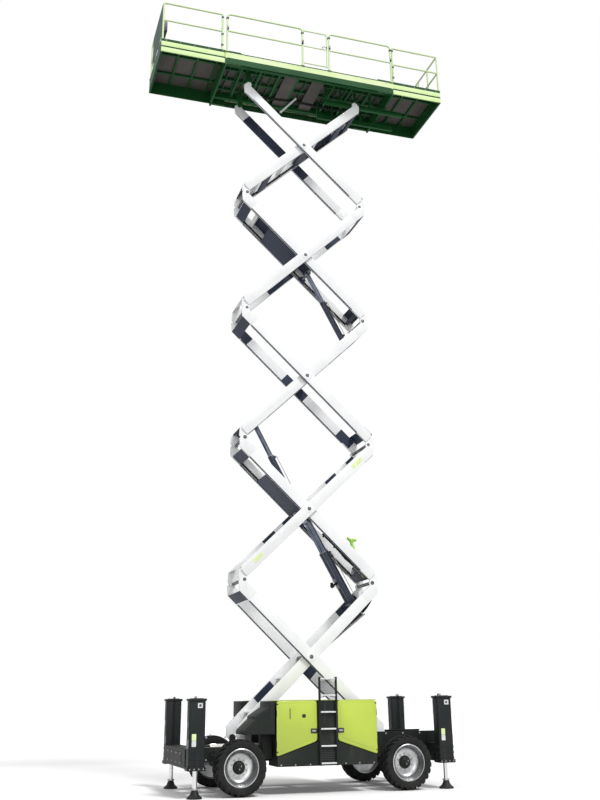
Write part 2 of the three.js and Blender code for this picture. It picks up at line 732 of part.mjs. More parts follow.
for (const cylinder of cylinders) {
  const { name, stage, elbow, barrel, rodEye, size } = cylinder;
  const shortest = eyeDistance(cylinder, 0);
  const longest = eyeDistance(cylinder, armTilt + armRaise * radians);
  const rise = elbow; // the frame below an elbow climbs towards it
  const start = frameToMachine(eyeAt(elbow, barrel, 1), stage, rise, armTilt);
  const end = frameToMachine(eyeAt(elbow, rodEye, -1), stage + 1, -rise, armTilt);
  const length = Math.hypot(end[0] - start[0], end[1] - start[1]);
  const barrelLength = shortest - 110;
  const rodStart = length - (longest - barrelLength + 90); // of the rod, from the barrel's eye
  const eyeRadius = eyePinRadius + 28;
  const lines = size.spread > 0 ? [-size.spread, size.spread] : [0];
  const halfEye = size.spread + size.radius;
  const barrels = [bar("y", [-halfEye, halfEye], [0, 0], eyeRadius, 16)];
  const rods = [bar("y", [-halfEye, halfEye], [length, 0], eyeRadius - 6, 16)];
  for (const y of lines) {
    barrels.push(bar("x", [30, barrelLength], [y, 0], size.radius, 16));
    rods.push(bar("x", [rodStart, length - 30], [y, 0], size.rod, 12));
  }
  let barrelSolid = joined(barrels);
  for (const y of lines) {
    const bore = bar("x", [eyeRadius + 10, barrelLength + 1], [y, 0], size.rod + glandGap, 12);
    barrelSolid = barrelSolid.subtract(bore);
  }
  const pinHoleSpan = [-halfEye - 1, halfEye + 1];
  barrelSolid = barrelSolid.subtract(bar("y", pinHoleSpan, [0, 0], eyePinRadius + pinGap));
  const angle = -Math.atan2(end[1] - start[1], end[0] - start[0]);
  const place = [start[0], 0, start[1]];
  piece(machine, `lift_barrel_${name}`, barrelSolid, paint.charcoal, place, angle);
  piece(machine, `lift_rod_${name}`, joined(rods), paint.steel, place, angle);
}

// Platform --------------------------------------------------------------------------------

const fasciaTopZ = fasciaZ + fasciaHeight;
const mainFloorBottomZ = mainFloorZ - mainFloorThickness;
const floorHalf = sideY - sideWall - slideGap - 2;
const sideBottomZ = fasciaZ - sideDrop;
const yokeBottomZ = sideBottomZ - 40;
const hangerCount = 5;
const hangerLength = 40;
const leftInner = deckLeft + extensionOverlap + leftTravel; // of the left side plates when retracted
const rightInner = deckRight - extensionOverlap - rightTravel;

function topTrack(side) {
  const inner = innerArmY - armThickness;
  const outerY = inner - 7;
  const innerY = outerY - rollerRadius - trackWall;
  const half = topRollerRadius + rollerGap;
  const length = [trackStartX, trackEndX];
  const hangerRise = [topPinZ + half + trackWall - 1, mainFloorBottomZ + 1];
  const hangers = [];
  for (let i = 0; i < hangerCount; i += 1) {
    const x = trackStartX + (i * (deckRight - hangerLength - trackStartX)) / (hangerCount - 1);
    hangers.push(box([x, x + hangerLength], sideSpan(side, innerY, outerY), hangerRise));
  }
  return joined([
    ...hangers,
    box(length, sideSpan(side, innerY, outerY), [topPinZ + half, topPinZ + half + trackWall]),
    box(length, sideSpan(side, innerY, innerY + trackWall), [topPinZ - half - 8, topPinZ + half + 1]),
    box(length, sideSpan(side, innerY, outerY), [topPinZ - half - 8, topPinZ - half]),
  ]);
}

function topLug(side) {
  const outer = outerArmY - armThickness - slideGap;
  const inner = outer - lugThickness;
  return joined([
    box([fixedPinX - earRadius, fixedPinX + earRadius], sideSpan(side, inner, outer),
      [topPinZ, mainFloorBottomZ + 1]),
    bar("y", sideSpan(side, inner, outer), [fixedPinX, topPinZ], earRadius),
    bar("y", sideSpan(side, inner, outerArmY), [fixedPinX, topPinZ], elbowPinRadius),
  ]);
}

function mainDeck() {
  const parts = [box([deckLeft, deckRight], [-floorHalf, floorHalf], [mainFloorBottomZ, mainFloorZ])];
  const ribSpan = [mainFloorBottomZ - ribDepth, mainFloorBottomZ + 1];
  const ribCount = 9;
  for (let i = 0; i <= ribCount; i += 1) {
    const x = deckLeft + ribWidth / 2 + (i * (deckRight - deckLeft - ribWidth)) / ribCount;
    parts.push(box([x - ribWidth / 2, x + ribWidth / 2], [-floorHalf, floorHalf], ribSpan));
  }
  for (const side of [-1, 1]) {
    const fascia = sideSpan(side, fasciaY - fasciaWall, fasciaY);
    parts.push(box([deckLeft, deckRight], fascia, [fasciaZ, fasciaTopZ]));
    const bridge = [leftInner + 20, rightInner - 20];
    parts.push(box(bridge, sideSpan(side, floorHalf - 1, fasciaY - 1), [mainFloorBottomZ - 60, mainFloorBottomZ]));
    const spine = sideSpan(side, 560, 640);
    parts.push(box([deckLeft, deckRight], spine, [fasciaZ - 60, mainFloorBottomZ + 1]));
    parts.push(topTrack(side));
    parts.push(topLug(side));
    // the end yokes pass under the extensions' side plates
    for (const x of [deckLeft, deckRight - 40]) {
      const wall = sideSpan(side, sideY + slideGap, fasciaY);
      parts.push(box([x, x + 40], wall, [yokeBottomZ, fasciaTopZ]));
      // the wear pad that a side plate slides on
      const pad = sideSpan(side, sideY - sideWall, sideY);
      parts.push(box([x, x + 40], pad, [sideBottomZ - slideGap - 1, sideBottomZ - seatGap]));
    }
  }
  for (const x of [deckLeft, deckRight - 40]) {
    parts.push(box([x, x + 40], [-fasciaY, fasciaY], [yokeBottomZ, sideBottomZ - slideGap]));
    parts.push(box([x, x + 40], [-floorHalf, floorHalf], [yokeBottomZ, mainFloorBottomZ]));
  }
  return joined(parts);
}

// end is -1 for the left extension and +1 for the right one
function extensionDeck(end) {
  const innerX = end < 0 ? deckLeft + extensionOverlap : deckRight - extensionOverlap;
  const length = sorted(end * extensionEnd, innerX);
  const floorBottom = extensionFloorZ - extensionFloorThickness;
  const ribBottom = mainFloorZ + 15;
  const parts = [box(length, [-sideY, sideY], [floorBottom, extensionFloorZ])];
  for (const side of [-1, 1]) {
    parts.push(box(length, sideSpan(side, sideY - sideWall, sideY), [sideBottomZ, extensionFloorZ]));
    parts.push(box(length, sideSpan(side, 300, 340), [ribBottom, floorBottom + 1]));
  }
  const ribCount = 4;
  for (let i = 0; i <= ribCount; i += 1) {
    const x = length[0] + 20 + (i * (length[1] - length[0] - 40)) / ribCount;
    parts.push(box([x - 20, x + 20], [-sideY + 1, sideY - 1], [ribBottom, floorBottom + 1]));
  }
  const outward = end * extensionEnd;
  const lip = sorted(outward, outward - end * 30);
  parts.push(box(lip, [-sideY, sideY], [sideBottomZ, extensionFloorZ]));
  return joined(parts);
}

piece(machine, "deck_main", mainDeck(), paint.lime);
piece(machine, "deck_extension_left", extensionDeck(-1), paint.lime);
piece(machine, "deck_extension_right", extensionDeck(1), paint.lime);

// Guard rails -------------------------------------------------------------------------------

const railSides = 6;

function railPost(x, y, bottom) {
  return bar("z", [bottom, topRailZ + railRadius], [x, y], railRadius, railSides);
}

// Rails along the machine, with a post at each of the given places.
function sideRails(y, [start, end], posts, bottom) {
  const parts = posts.map((x) => railPost(x, y, bottom));
  for (const z of [topRailZ, midRailZ]) {
    parts.push(bar("x", [start, end], [y, z], railRadius, railSides));
  }
  return joined(parts);
}

const mainRailBottom = fasciaTopZ + seatGap;
const postInset = railRadius + 12;

function mainRails(side, [start, end], posts) {
  return sideRails(side * mainRailY, [start, end], posts, mainRailBottom);
}

// The gate turns on its left stile, between two lugs of the post beside it.
const gatePinX = gateLeft + 26;
const gateBottomZ = mainRailBottom + 60;
const gateTopZ = topRailZ - 20;
const stileRadius = railRadius - 4;

function gateLug(postX, z) {
  return box([postX, gatePinX + stileRadius], [-mainRailY - 12, -mainRailY + 12], z);
}

const nearLeft = [deckLeft + postInset, gateLeft - railRadius - 4];
const nearRight = [gateRight + railRadius + 4, deckRight - postInset];
const farSpan = [deckLeft + postInset, deckRight - postInset];
const farPosts = [0, 1, 2, 3, 4].map((i) => farSpan[0] + (i * (farSpan[1] - farSpan[0])) / 4);
const railsNearLeft = joined([
  mainRails(-1, nearLeft, nearLeft),
  gateLug(nearLeft[1], [gateBottomZ - 20, gateBottomZ - seatGap]),
  gateLug(nearLeft[1], [gateTopZ + seatGap, gateTopZ + 20]),
]);
piece(machine, "rails_near_left", railsNearLeft, paint.lime);
piece(machine, "rails_near_right", mainRails(-1, nearRight, nearRight), paint.lime);
piece(machine, "rails_far", mainRails(1, farSpan, farPosts), paint.lime);

function extensionRails(end) {
  const outer = end * (extensionEnd - railRadius - 2);
  const inner = end < 0 ? deckLeft - 60 : deckRight + 30;
  const bottom = extensionFloorZ + seatGap;
  const y = extensionRailY;
  const parts = [];
  for (const side of [-1, 1]) {
    const span = sorted(outer, inner);
    parts.push(sideRails(side * y, span, span, bottom));
  }
  for (const z of [topRailZ, midRailZ]) {
    parts.push(bar("y", [-y, y], [outer, z], railRadius, railSides));
  }
  for (const side of [-1, 1]) {
    parts.push(railPost(outer, (side * y) / 3, bottom));
  }
  return joined(parts);
}

piece(machine, "rails_extension_left", extensionRails(-1), paint.lime);
piece(machine, "rails_extension_right", extensionRails(1), paint.lime);

function gate() {
  const y = -mainRailY;
  const right = gateRight - 22;
  const parts = [];
  for (const x of [gatePinX, right]) {
    parts.push(bar("z", [gateBottomZ, gateTopZ], [x, y], stileRadius, railSides));
  }
  for (const z of [gateTopZ - 20, midRailZ, gateBottomZ + 20]) {
    parts.push(bar("x", [gatePinX, right], [y, z], railRadius - 6, railSides));
  }
  return joined(parts);
}

piece(machine, "gate", gate(), paint.lime);

const controlSize = [160, 300, 260];
const railFlat = railRadius * Math.cos(Math.PI / railSides);
const controlX = -extensionEnd + railRadius + 2 + railFlat + seatGap;
const controlBox = box([controlX, controlX + controlSize[0]], [-150, -150 + controlSize[1]],
  [topRailZ - controlSize[2] + 20, topRailZ + 20]);
piece(machine, "control_box", controlBox, paint.charcoal);

export default machine;
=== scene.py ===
import json
import math

import bmesh
import bpy
import numpy as np
from mathutils import Matrix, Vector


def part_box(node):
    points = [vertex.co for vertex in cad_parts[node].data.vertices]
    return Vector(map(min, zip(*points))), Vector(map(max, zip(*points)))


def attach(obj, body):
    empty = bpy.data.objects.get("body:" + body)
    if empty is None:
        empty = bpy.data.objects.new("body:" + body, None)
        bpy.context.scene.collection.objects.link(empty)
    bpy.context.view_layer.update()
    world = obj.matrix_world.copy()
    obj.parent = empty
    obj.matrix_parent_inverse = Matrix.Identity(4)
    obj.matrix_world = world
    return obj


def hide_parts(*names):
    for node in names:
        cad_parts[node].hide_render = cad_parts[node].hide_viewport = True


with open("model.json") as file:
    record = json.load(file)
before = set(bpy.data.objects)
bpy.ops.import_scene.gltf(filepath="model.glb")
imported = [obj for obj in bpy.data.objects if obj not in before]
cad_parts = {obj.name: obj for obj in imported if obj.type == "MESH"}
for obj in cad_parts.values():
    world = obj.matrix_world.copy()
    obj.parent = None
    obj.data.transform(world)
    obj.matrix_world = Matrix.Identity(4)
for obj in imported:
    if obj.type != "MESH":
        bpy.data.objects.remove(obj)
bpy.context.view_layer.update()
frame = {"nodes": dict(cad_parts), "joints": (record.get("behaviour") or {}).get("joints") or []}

# A rough-terrain scissor lift in metres: +X runs to the steered axle, -Y is the ladder's side.

cadNodes = frame["nodes"]
joints = {joint["name"]: joint for joint in frame["joints"]}
print("frame loaded:", len(cadNodes), "nodes")


# sums of sockets, for the materials

class Value:
    # wraps one socket, so that a sum written in Python adds its Math nodes
    def __init__(self, finish, socket):
        self.finish = finish
        self.socket = socket

    def sum(self, operation, *terms):
        return self.finish.add("ShaderNodeMath", {"operation": operation}, dict(enumerate(terms)))

    def __add__(self, other):
        return self.sum("ADD", self, other)

    def __radd__(self, other):
        return self.sum("ADD", other, self)

    def __sub__(self, other):
        return self.sum("SUBTRACT", self, other)

    def __rsub__(self, other):
        return self.sum("SUBTRACT", other, self)

    def __mul__(self, other):
        return self.sum("MULTIPLY", self, other)

    def __rmul__(self, other):
        return self.sum("MULTIPLY", other, self)

    def __truediv__(self, other):
        return self.sum("DIVIDE", self, other)

    def __gt__(self, other):
        return self.sum("GREATER_THAN", self, other)

    def held(self):  # kept between 0 and 1
        return self.finish.add("ShaderNodeClamp", {}, {0: self})

    def steps(self, low, high):  # 0 below low, 1 above high, smooth between
        return self.finish.add("ShaderNodeMapRange", {"interpolation_type": "SMOOTHSTEP"},
                               {0: self, 1: low, 2: high})


class Finish:
    # one material with its nodes
    def __init__(self, name):
        self.material = bpy.data.materials.new(name)
        self.material.use_nodes = True
        self.tree = self.material.node_tree
        self.tree.nodes.clear()

    def add(self, kind, settings, values, output=0):
        node = self.tree.nodes.new(kind)
        for key, value in settings.items():
            setattr(node, key, value)
        for key, value in values.items():
            if isinstance(value, Value):
                self.tree.links.new(value.socket, node.inputs[key])
            else:
                node.inputs[key].default_value = value
        return Value(self, node.outputs[output])

    def place(self, stretch=(1, 1, 1)):
        spot = self.add("ShaderNodeTexCoord", {}, {}, "Object")
        return self.add("ShaderNodeVectorMath", {"operation": "MULTIPLY"}, {0: spot, 1: stretch})

    def noise(self, scale, stretch=(1, 1, 1), detail=3.0, roughness=0.55):
        return self.add("ShaderNodeTexNoise", {},
                        {"Vector": self.place(stretch), "Scale": scale, "Detail": detail,
                         "Roughness": roughness})

    def mix(self, factor, first, second):
        return self.add("ShaderNodeMix", {"data_type": "RGBA"}, {0: factor, 6: first, 7: second}, 2)

    def height(self):
        return self.add("ShaderNodeSeparateXYZ", {}, {0: self.place()}, 2)

    def facing(self, axis):  # how far the surface looks along x, y or z
        normal = self.add("ShaderNodeNewGeometry", {}, {}, "Normal")
        return self.add("ShaderNodeSeparateXYZ", {}, {0: normal}, "XYZ".index(axis))

    def surface(self, colour, roughness, bump, depth, metallic=0.0, coat=0.0, shine=0.5):
        normal = self.add("ShaderNodeBump", {}, {"Strength": 0.6, "Distance": depth, "Height": bump})
        self.close(self.add("ShaderNodeBsdfPrincipled", {},
                            {"Base Color": colour, "Roughness": roughness, "Normal": normal,
                             "Metallic": metallic, "Coat Weight": coat, "Specular IOR Level": shine}))
        return self.material

    def close(self, shader):
        out = self.tree.nodes.new("ShaderNodeOutputMaterial")
        self.tree.links.new(shader.socket, out.inputs["Surface"])


# finishes: one function for each kind of surface, one dictionary for each look

def paintFinish(name, look):
    # Sprayed paint: patches of tone, dust that thickens towards the ground, streaks down the walls,
    # scuffs down to primer, painted shade on faces that look down, and a fine orange-peel surface.
    finish = Finish(name)
    patches = finish.noise(look.get("patch", 1.6))
    streaks = finish.noise(5.0, (2.5, 2.5, 0.25), detail=5.0)
    scuffs = finish.noise(look.get("scuffScale", 14.0), detail=6.0, roughness=0.7)
    peel = finish.noise(420.0, detail=2.0)
    up = finish.facing("Z")
    settled = up.steps(0.4, 1.0) * look.get("dust", 0.25)
    low = (1.0 - finish.height() / look.get("dustHeight", 1.2)).held() * look.get("mud", 0.3)
    dirt = ((settled + low) * patches.steps(0.25, 0.75) + streaks.steps(0.55,
                                                                        0.85) * look.get("streak",
                                                                                         0.1)).held()
    # painted shade: faces that look down are mixed towards the darker under shade colour
    under = (0.0 - up).steps(0.25, 0.65) * look.get("under", 0.0)
    tone = finish.mix(patches.steps(0.3, 0.7), look["colour"] + (1,), look["second"] + (1,))
    if "inner" in look:  # darker green inside the side faces and below them: a darker frame paint, deepened further as painted shade
        across = finish.add("ShaderNodeSeparateXYZ", {}, {0: finish.place()}, 1)
        outside = (across.sum("ABSOLUTE", across) > look["edge"]) * (finish.height() > look["low"])
        tone = finish.mix(outside, look["inner"] + (1,), tone)
    tone = finish.mix(dirt, tone, look.get("dirtColour", (0.30, 0.27, 0.22)) + (1,))
    tone = finish.mix(under, tone, look.get("underColour", (0.05, 0.06, 0.08)) + (1,))
    worn = scuffs.steps(0.70, 0.76) * look.get("wear", 0.5)
    tone = finish.mix(worn, tone, look.get("wornColour", (0.16, 0.16, 0.15)) + (1,))
    roughness = (look.get("roughness", 0.4) + patches * 0.12 + dirt * 0.3 + worn * 0.2).held()
    return finish.surface(tone, roughness, peel * 0.35 + scuffs * 0.65, look.get("depth", 0.0012),
                          look.get("metallic", 0.0), look.get("coat", 0.0), look.get("shine", 0.5))


limePaint = paintFinish("limePaint", {"colour": (0.48, 0.60, 0.066), "second": (0.44, 0.56, 0.058),
                                      "roughness": 0.34, "mud": 0.22, "dust": 0.12, "coat": 0.25,
                                      "streak": 0.06})
# painted shade: "under" darkens the faces that look down to a deep green
deckGreen = paintFinish("deckGreen", {"colour": (0.62, 0.79, 0.36), "second": (0.55, 0.74, 0.29),
                                      "roughness": 0.42, "dustHeight": 0.1, "streak": 0.12, "dust": 0.18,
                                      "under": 0.55, "underColour": (0.06, 0.16, 0.045)})
# the "inner" green is a darker frame paint, deepened further as painted shade
deckLook = {"colour": (0.72, 0.82, 0.50), "second": (0.62, 0.78, 0.38), "roughness": 0.42, "dustHeight": 0.1,
            "streak": 0.12, "dust": 0.06, "inner": (0.012, 0.084, 0.022), "shine": 0.12}
mainDeckPaint = paintFinish("mainDeckPaint", {**deckLook, "edge": 0.768, "low": 14.03})
sideDeckPaint = paintFinish("sideDeckPaint", {**deckLook, "edge": 0.752, "low": 13.90})
# dark frame green for the deck's underside and trim strips: a darker frame paint, deepened further as painted
# shade
frameGreen = paintFinish("frameGreen", {"colour": (0.016, 0.085, 0.026), "second": (0.012, 0.062, 0.020),
                                        "roughness": 0.5, "dustHeight": 0.1, "dust": 0.04, "shine": 0.15})
charcoalPaint = paintFinish("charcoalPaint",
                            {"colour": (0.008, 0.012, 0.010), "second": (0.013, 0.017, 0.015),
                                              "roughness": 0.5, "mud": 0.06, "dust": 0.08, "shine": 0.2,
                                              "wornColour": (0.12, 0.12, 0.11)})
outriggerPaint = paintFinish("outriggerPaint",
                             {"colour": (0.006, 0.009, 0.010), "second": (0.010, 0.013, 0.014),
                                                "roughness": 0.45, "mud": 0.05, "dust": 0.06, "shine": 0.25})
# painted shade: "under" greys the faces that look down a little
armWhite = paintFinish("armWhite", {"colour": (0.84, 0.85, 0.85), "second": (0.76, 0.77, 0.78),
                                    "roughness": 0.36, "dustHeight": 0.1, "streak": 0.16, "dust": 0.12,
                                    "dirtColour": (0.42, 0.41, 0.38), "wear": 0.22,
                                    "under": 0.10, "underColour": (0.30, 0.31, 0.33), "coat": 0.2})
enginePaint = paintFinish("enginePaint", {"colour": (0.11, 0.115, 0.12), "second": (0.07, 0.07, 0.075),
                                          "roughness": 0.55, "mud": 0.5, "dust": 0.4})
rimPaint = paintFinish("rimPaint", {"colour": (0.62, 0.63, 0.64), "second": (0.40, 0.41, 0.42), "patch": 5.0,
                                    "roughness": 0.22, "mud": 0.12, "dust": 0.1, "metallic": 0.92})
# painted light: a paler copy of the deck green, so the rails, seen from below, read lighter
railPaint = paintFinish("railPaint", {"colour": (0.66, 0.80, 0.48), "second": (0.58, 0.74, 0.38),
                                      "roughness": 0.4,
                                      "dustHeight": 0.1, "dust": 0.1})
innerPaint = paintFinish("innerPaint", {"colour": (0.66, 0.68, 0.70), "second": (0.55, 0.57, 0.60),
                                        "roughness": 0.4, "dustHeight": 0.1, "dust": 0.1, "streak": 0.2})


def rubberFinish(name, look):
    # Rubber: matt black-brown, dry dust caught in a fine grain, paler towards the ground.
    finish = Finish(name)
    patches = finish.noise(6.0)
    grain = finish.noise(160.0, detail=6.0)
    dust = ((1.0 - finish.height() / 0.9).held() * 0.3 + 0.15) * patches.steps(0.35, 0.8) * look["dust"]
    tone = finish.mix(dust, look["colour"] + (1,), (0.16, 0.145, 0.12, 1))
    return finish.surface(tone, (0.72 + grain * 0.2).held(), grain, 0.0015, shine=0.2)


tyreRubber = rubberFinish("tyreRubber", {"colour": (0.013, 0.014, 0.014), "dust": 0.30})
hoseRubber = rubberFinish("hoseRubber", {"colour": (0.012, 0.012, 0.013), "dust": 0.15})


def steelFinish(name, look):
    # Bare steel: drawn grain along z and a darker oiled film in patches.
    finish = Finish(name)
    grain = finish.noise(60.0, (3.0, 3.0, 0.15), detail=4.0)
    patches = finish.noise(4.0)
    tone = finish.mix(patches.steps(0.35, 0.7), look["colour"] + (1,), look["second"] + (1,))
    return finish.surface(tone, (look["roughness"] + grain * 0.18).held(), grain, 0.0004, look["metallic"])


rodChrome = steelFinish("rodChrome", {"colour": (0.72, 0.73, 0.74), "second": (0.62, 0.63, 0.64),
                                      "roughness": 0.10, "metallic": 1.0})
# painted shade: the rods' dark blue-grey stands for bright chrome in shade, reflecting dark surroundings
rodSteel = steelFinish("rodSteel", {"colour": (0.16, 0.18, 0.23), "second": (0.10, 0.12, 0.16),
                                    "roughness": 0.22, "metallic": 0.9})
cylinderBlue = steelFinish("cylinderBlue", {"colour": (0.036, 0.046, 0.072), "second": (0.024, 0.031, 0.050),
                                            "roughness": 0.25, "metallic": 0.35})
pinSteel = steelFinish("pinSteel", {"colour": (0.16, 0.165, 0.175), "second": (0.10, 0.10, 0.105),
                                    "roughness": 0.32, "metallic": 0.85})
boltSteel = steelFinish("boltSteel", {"colour": (0.48, 0.48, 0.46), "second": (0.38, 0.37, 0.34),
                                      "roughness": 0.35, "metallic": 0.8})


def floorFinish(name):
    # Deck sheet: brown-grey anti-slip surface with raised diamonds, worn paler in patches.
    finish = Finish(name)
    patches = finish.noise(2.2)
    across = finish.add("ShaderNodeSeparateXYZ", {}, {0: finish.place()}, 0)
    along = finish.add("ShaderNodeSeparateXYZ", {}, {0: finish.place()}, 1)
    waves = ((across + along) * 210.0).sum("SINE", (across + along) * 210.0)
    other = ((across - along) * 210.0).sum("SINE", (across - along) * 210.0)
    diamonds = (waves * other).steps(0.2, 0.7)
    grain = finish.noise(90.0, detail=5.0)
    tone = finish.mix(patches.steps(0.3, 0.7), (0.075, 0.066, 0.056, 1), (0.045, 0.042, 0.038, 1))
    tone = finish.mix(diamonds * 0.35, tone, (0.10, 0.09, 0.08, 1))
    return finish.surface(tone, (0.55 + grain * 0.25).held(), diamonds + grain * 0.2, 0.002)


deckSheet = floorFinish("deckSheet")


def plainFinish(name, colour, roughness, coat=0.0):
    # Moulded or printed small parts: one tone with faint patches and a fine grain.
    finish = Finish(name)
    patches = finish.noise(9.0)
    grain = finish.noise(240.0, detail=4.0)
    second = tuple(0.78 * part for part in colour)
    tone = finish.mix(patches.steps(0.35, 0.75), colour + (1,), second + (1,))
    return finish.surface(tone, (roughness + patches * 0.15).held(), grain, 0.0006, coat=coat)


blankPlate = plainFinish("blankPlate", (0.72, 0.73, 0.72), 0.3)
limeLabel = plainFinish("limeLabel", (0.74, 0.86, 0.42), 0.3)
blackPlastic = plainFinish("blackPlastic", (0.016, 0.016, 0.018), 0.4)
greyPlastic = plainFinish("greyPlastic", (0.19, 0.20, 0.21), 0.45)
amberLens = plainFinish("amberLens", (0.85, 0.28, 0.02), 0.2, coat=0.6)
redLens = plainFinish("redLens", (0.62, 0.03, 0.02), 0.25, coat=0.5)
leverGreen = plainFinish("leverGreen", (0.30, 0.62, 0.06), 0.35)
# painted shade: dark teal for faces at the platform's left end, which lie in shade
tealPanel = plainFinish("tealPanel", (0.030, 0.085, 0.075), 0.5)
# painted shade: dark blue-grey for plates, panels and strips among the arms that lie in shade
darkPrimer = paintFinish("darkPrimer", {"colour": (0.026, 0.036, 0.066), "second": (0.018, 0.025, 0.045),
                                        "roughness": 0.5, "shine": 0.25, "dustHeight": 0.1, "dust": 0.2})
print("finishes made:", len(bpy.data.materials))


# shapes: each function gives points and faces in metres

class Shape:
    # points as one array, and faces as arrays of equal-sided polygons
    def __init__(self, points, faces):
        self.points = np.asarray(points, float).reshape(-1, 3)
        self.faces = [np.atleast_2d(np.asarray(group, int)) for group in faces]

    def __add__(self, other):
        count = len(self.points)
        return Shape(np.vstack([self.points, other.points]), self.faces + [g + count for g in other.faces])

    def moved(self, offset):
        return Shape(self.points + np.asarray(offset, float), self.faces)

    def turned(self, matrix):
        return Shape(self.points @ np.asarray(matrix, float).T, self.faces)

    def mirrored(self, axis):
        sign = np.ones(3)
        sign[axis] = -1
        return Shape(self.points * sign, self.faces)

    def copied(self, offsets, turns=None):
        # the same shape at every offset, each with its own turn
        offsets = np.asarray(offsets, float).reshape(-1, 3)
        points = np.broadcast_to(self.points, (len(offsets),) + self.points.shape)
        if turns is not None:
            points = np.einsum("kij,knj->kni", np.asarray(turns, float), points)
        points = points + offsets[:, None]
        shift = np.arange(len(offsets))[:, None, None] * len(self.points)
        return Shape(points, [(g[None] + shift).reshape(-1, g.shape[1]) for g in self.faces])


def gathered(shapes):
    total = shapes[0]
    for shape in shapes[1:]:
        total = total + shape
    return total


def gridFaces(rows, columns, closeRows=False):
    # four-sided faces between neighbouring rows, each row a closed ring of points
    r, c = np.meshgrid(np.arange(rows if closeRows else rows - 1), np.arange(columns), indexing="ij")
    nextR, nextC = (r + 1) % rows, (c + 1) % columns
    return np.stack([r * columns + c, r * columns + nextC, nextR * columns + nextC, nextR * columns + c],
                    -1).reshape(-1, 4)


def block(low, high, edge=0.004, rounds=2):
    # Rounded box over latitude and longitude: the inner box's corner that lies furthest along
    # a direction, plus the edge's radius times that direction.
    low, high = np.minimum(low, high), np.maximum(low, high)
    edge = min(edge, 0.49 * float((high - low).min()))
    quarter = np.linspace(0, np.pi / 2, rounds + 1)
    turn = np.concatenate([quarter + k * np.pi / 2 for k in range(4)])
    side = np.repeat([[1, 1], [-1, 1], [-1, -1], [1, -1]], rounds + 1, axis=0)
    lift = np.concatenate([-quarter[::-1], quarter])
    level = np.repeat([-1, 1], rounds + 1)
    inner = (high - low) / 2 - edge
    ring = np.stack([np.cos(turn), np.sin(turn)], -1)
    flat = side[None] * inner[:2] + edge * np.cos(lift)[:, None, None] * ring[None]
    tall = np.broadcast_to((level * inner[2] + edge * np.sin(lift))[:, None, None], flat.shape[:2] + (1,))
    points = np.concatenate([flat, tall], -1) + (low + high) / 2
    columns = len(turn)
    cap = np.arange(4) * (rounds + 1)
    return Shape(points, [gridFaces(len(lift), columns), cap, cap + (len(lift) - 1) * columns])


def blocks(rows, edge):
    return gathered([block(low, high, edge, 1) for low, high in rows])


def softOutline(corners, radius, rounds=3):
    # Every corner is replaced by the curve a(1-t)^2 + 2ct(1-t) + bt^2 between points before and after it.
    corners = np.asarray(corners, float)
    before, after = np.roll(corners, 1, 0) - corners, np.roll(corners, -1, 0) - corners
    lengths = [np.linalg.norm(v, axis=1, keepdims=True) for v in (before, after)]
    reach = [np.minimum(radius, 0.45 * length) for length in lengths]
    a = (corners + before / lengths[0] * reach[0])[:, None]
    b = (corners + after / lengths[1] * reach[1])[:, None]
    t = np.linspace(0, 1, rounds + 1)[None, :, None]
    return (a * (1 - t) ** 2 + 2 * corners[:, None] * t * (1 - t) + b * t ** 2).reshape(-1, corners.shape[1])


def slab(outline, axis, start, end, edge=0.004, rounds=2):
    # An outline carried through a thickness. Near both faces it shrinks by edge(1 - sin a)
    # while it stands off the face by edge(1 - cos a), which rounds the rim.
    outline = np.asarray(outline, float)
    start, end = min(start, end), max(start, end)
    edge = min(edge, 0.49 * (end - start))
    following = np.roll(outline, -1, 0)
    area = np.sum(outline[:, 0] * following[:, 1] - following[:, 0] * outline[:, 1])
    if area < 0:
        outline = outline[::-1]
        following = np.roll(outline, -1, 0)
    along = following - outline
    along /= np.linalg.norm(along, axis=1, keepdims=True)
    normal = np.stack([along[:, 1], -along[:, 0]], -1)
    previous = np.roll(normal, 1, 0)
    mitre = (normal + previous) / np.maximum(1 + (normal * previous).sum(1, keepdims=True), 0.3)
    a = np.linspace(0, np.pi / 2, rounds + 1)
    inset = np.concatenate([edge * (1 - np.sin(a)), edge * (1 - np.sin(a[::-1]))])
    depth = np.concatenate([start + edge * (1 - np.cos(a)), end - edge * (1 - np.cos(a[::-1]))])
    flat = outline[None] - inset[:, None, None] * mitre[None]
    tall = np.broadcast_to(depth[:, None], flat.shape[:2])
    order = {"x": [2, 0, 1], "y": [0, 2, 1], "z": [0, 1, 2]}[axis]
    points = np.stack([flat[..., 0], flat[..., 1], tall], -1)[..., order]
    count = len(outline)
    cap = np.arange(count)
    return Shape(points, [gridFaces(len(depth), count), cap, cap + (len(depth) - 1) * count])


def pipe(path, radius, sides=10, across=(0, 1, 0), closed=False):
    # A round section carried along a path: each ring stands square to the path, with its first
    # direction square to "across".
    path = np.asarray(path, float)
    tangent = np.roll(path, -1, 0) - np.roll(path, 1, 0) if closed else np.gradient(path, axis=0)
    tangent /= np.linalg.norm(tangent, axis=1, keepdims=True)
    first = np.cross(tangent, across)
    first /= np.linalg.norm(first, axis=1, keepdims=True)
    second = np.cross(tangent, first)
    angle = np.linspace(0, 2 * np.pi, sides, endpoint=False)
    radius = np.broadcast_to(np.asarray(radius, float), (len(path),))[:, None, None]
    ring = first[:, None] * np.cos(angle)[None, :, None] + second[:, None] * np.sin(angle)[None, :, None]
    points = path[:, None] + radius * ring
    faces = [gridFaces(len(path), sides, closeRows=closed)]
    if not closed:
        faces += [np.arange(sides), np.arange(sides) + (len(path) - 1) * sides]
    return Shape(points, faces)


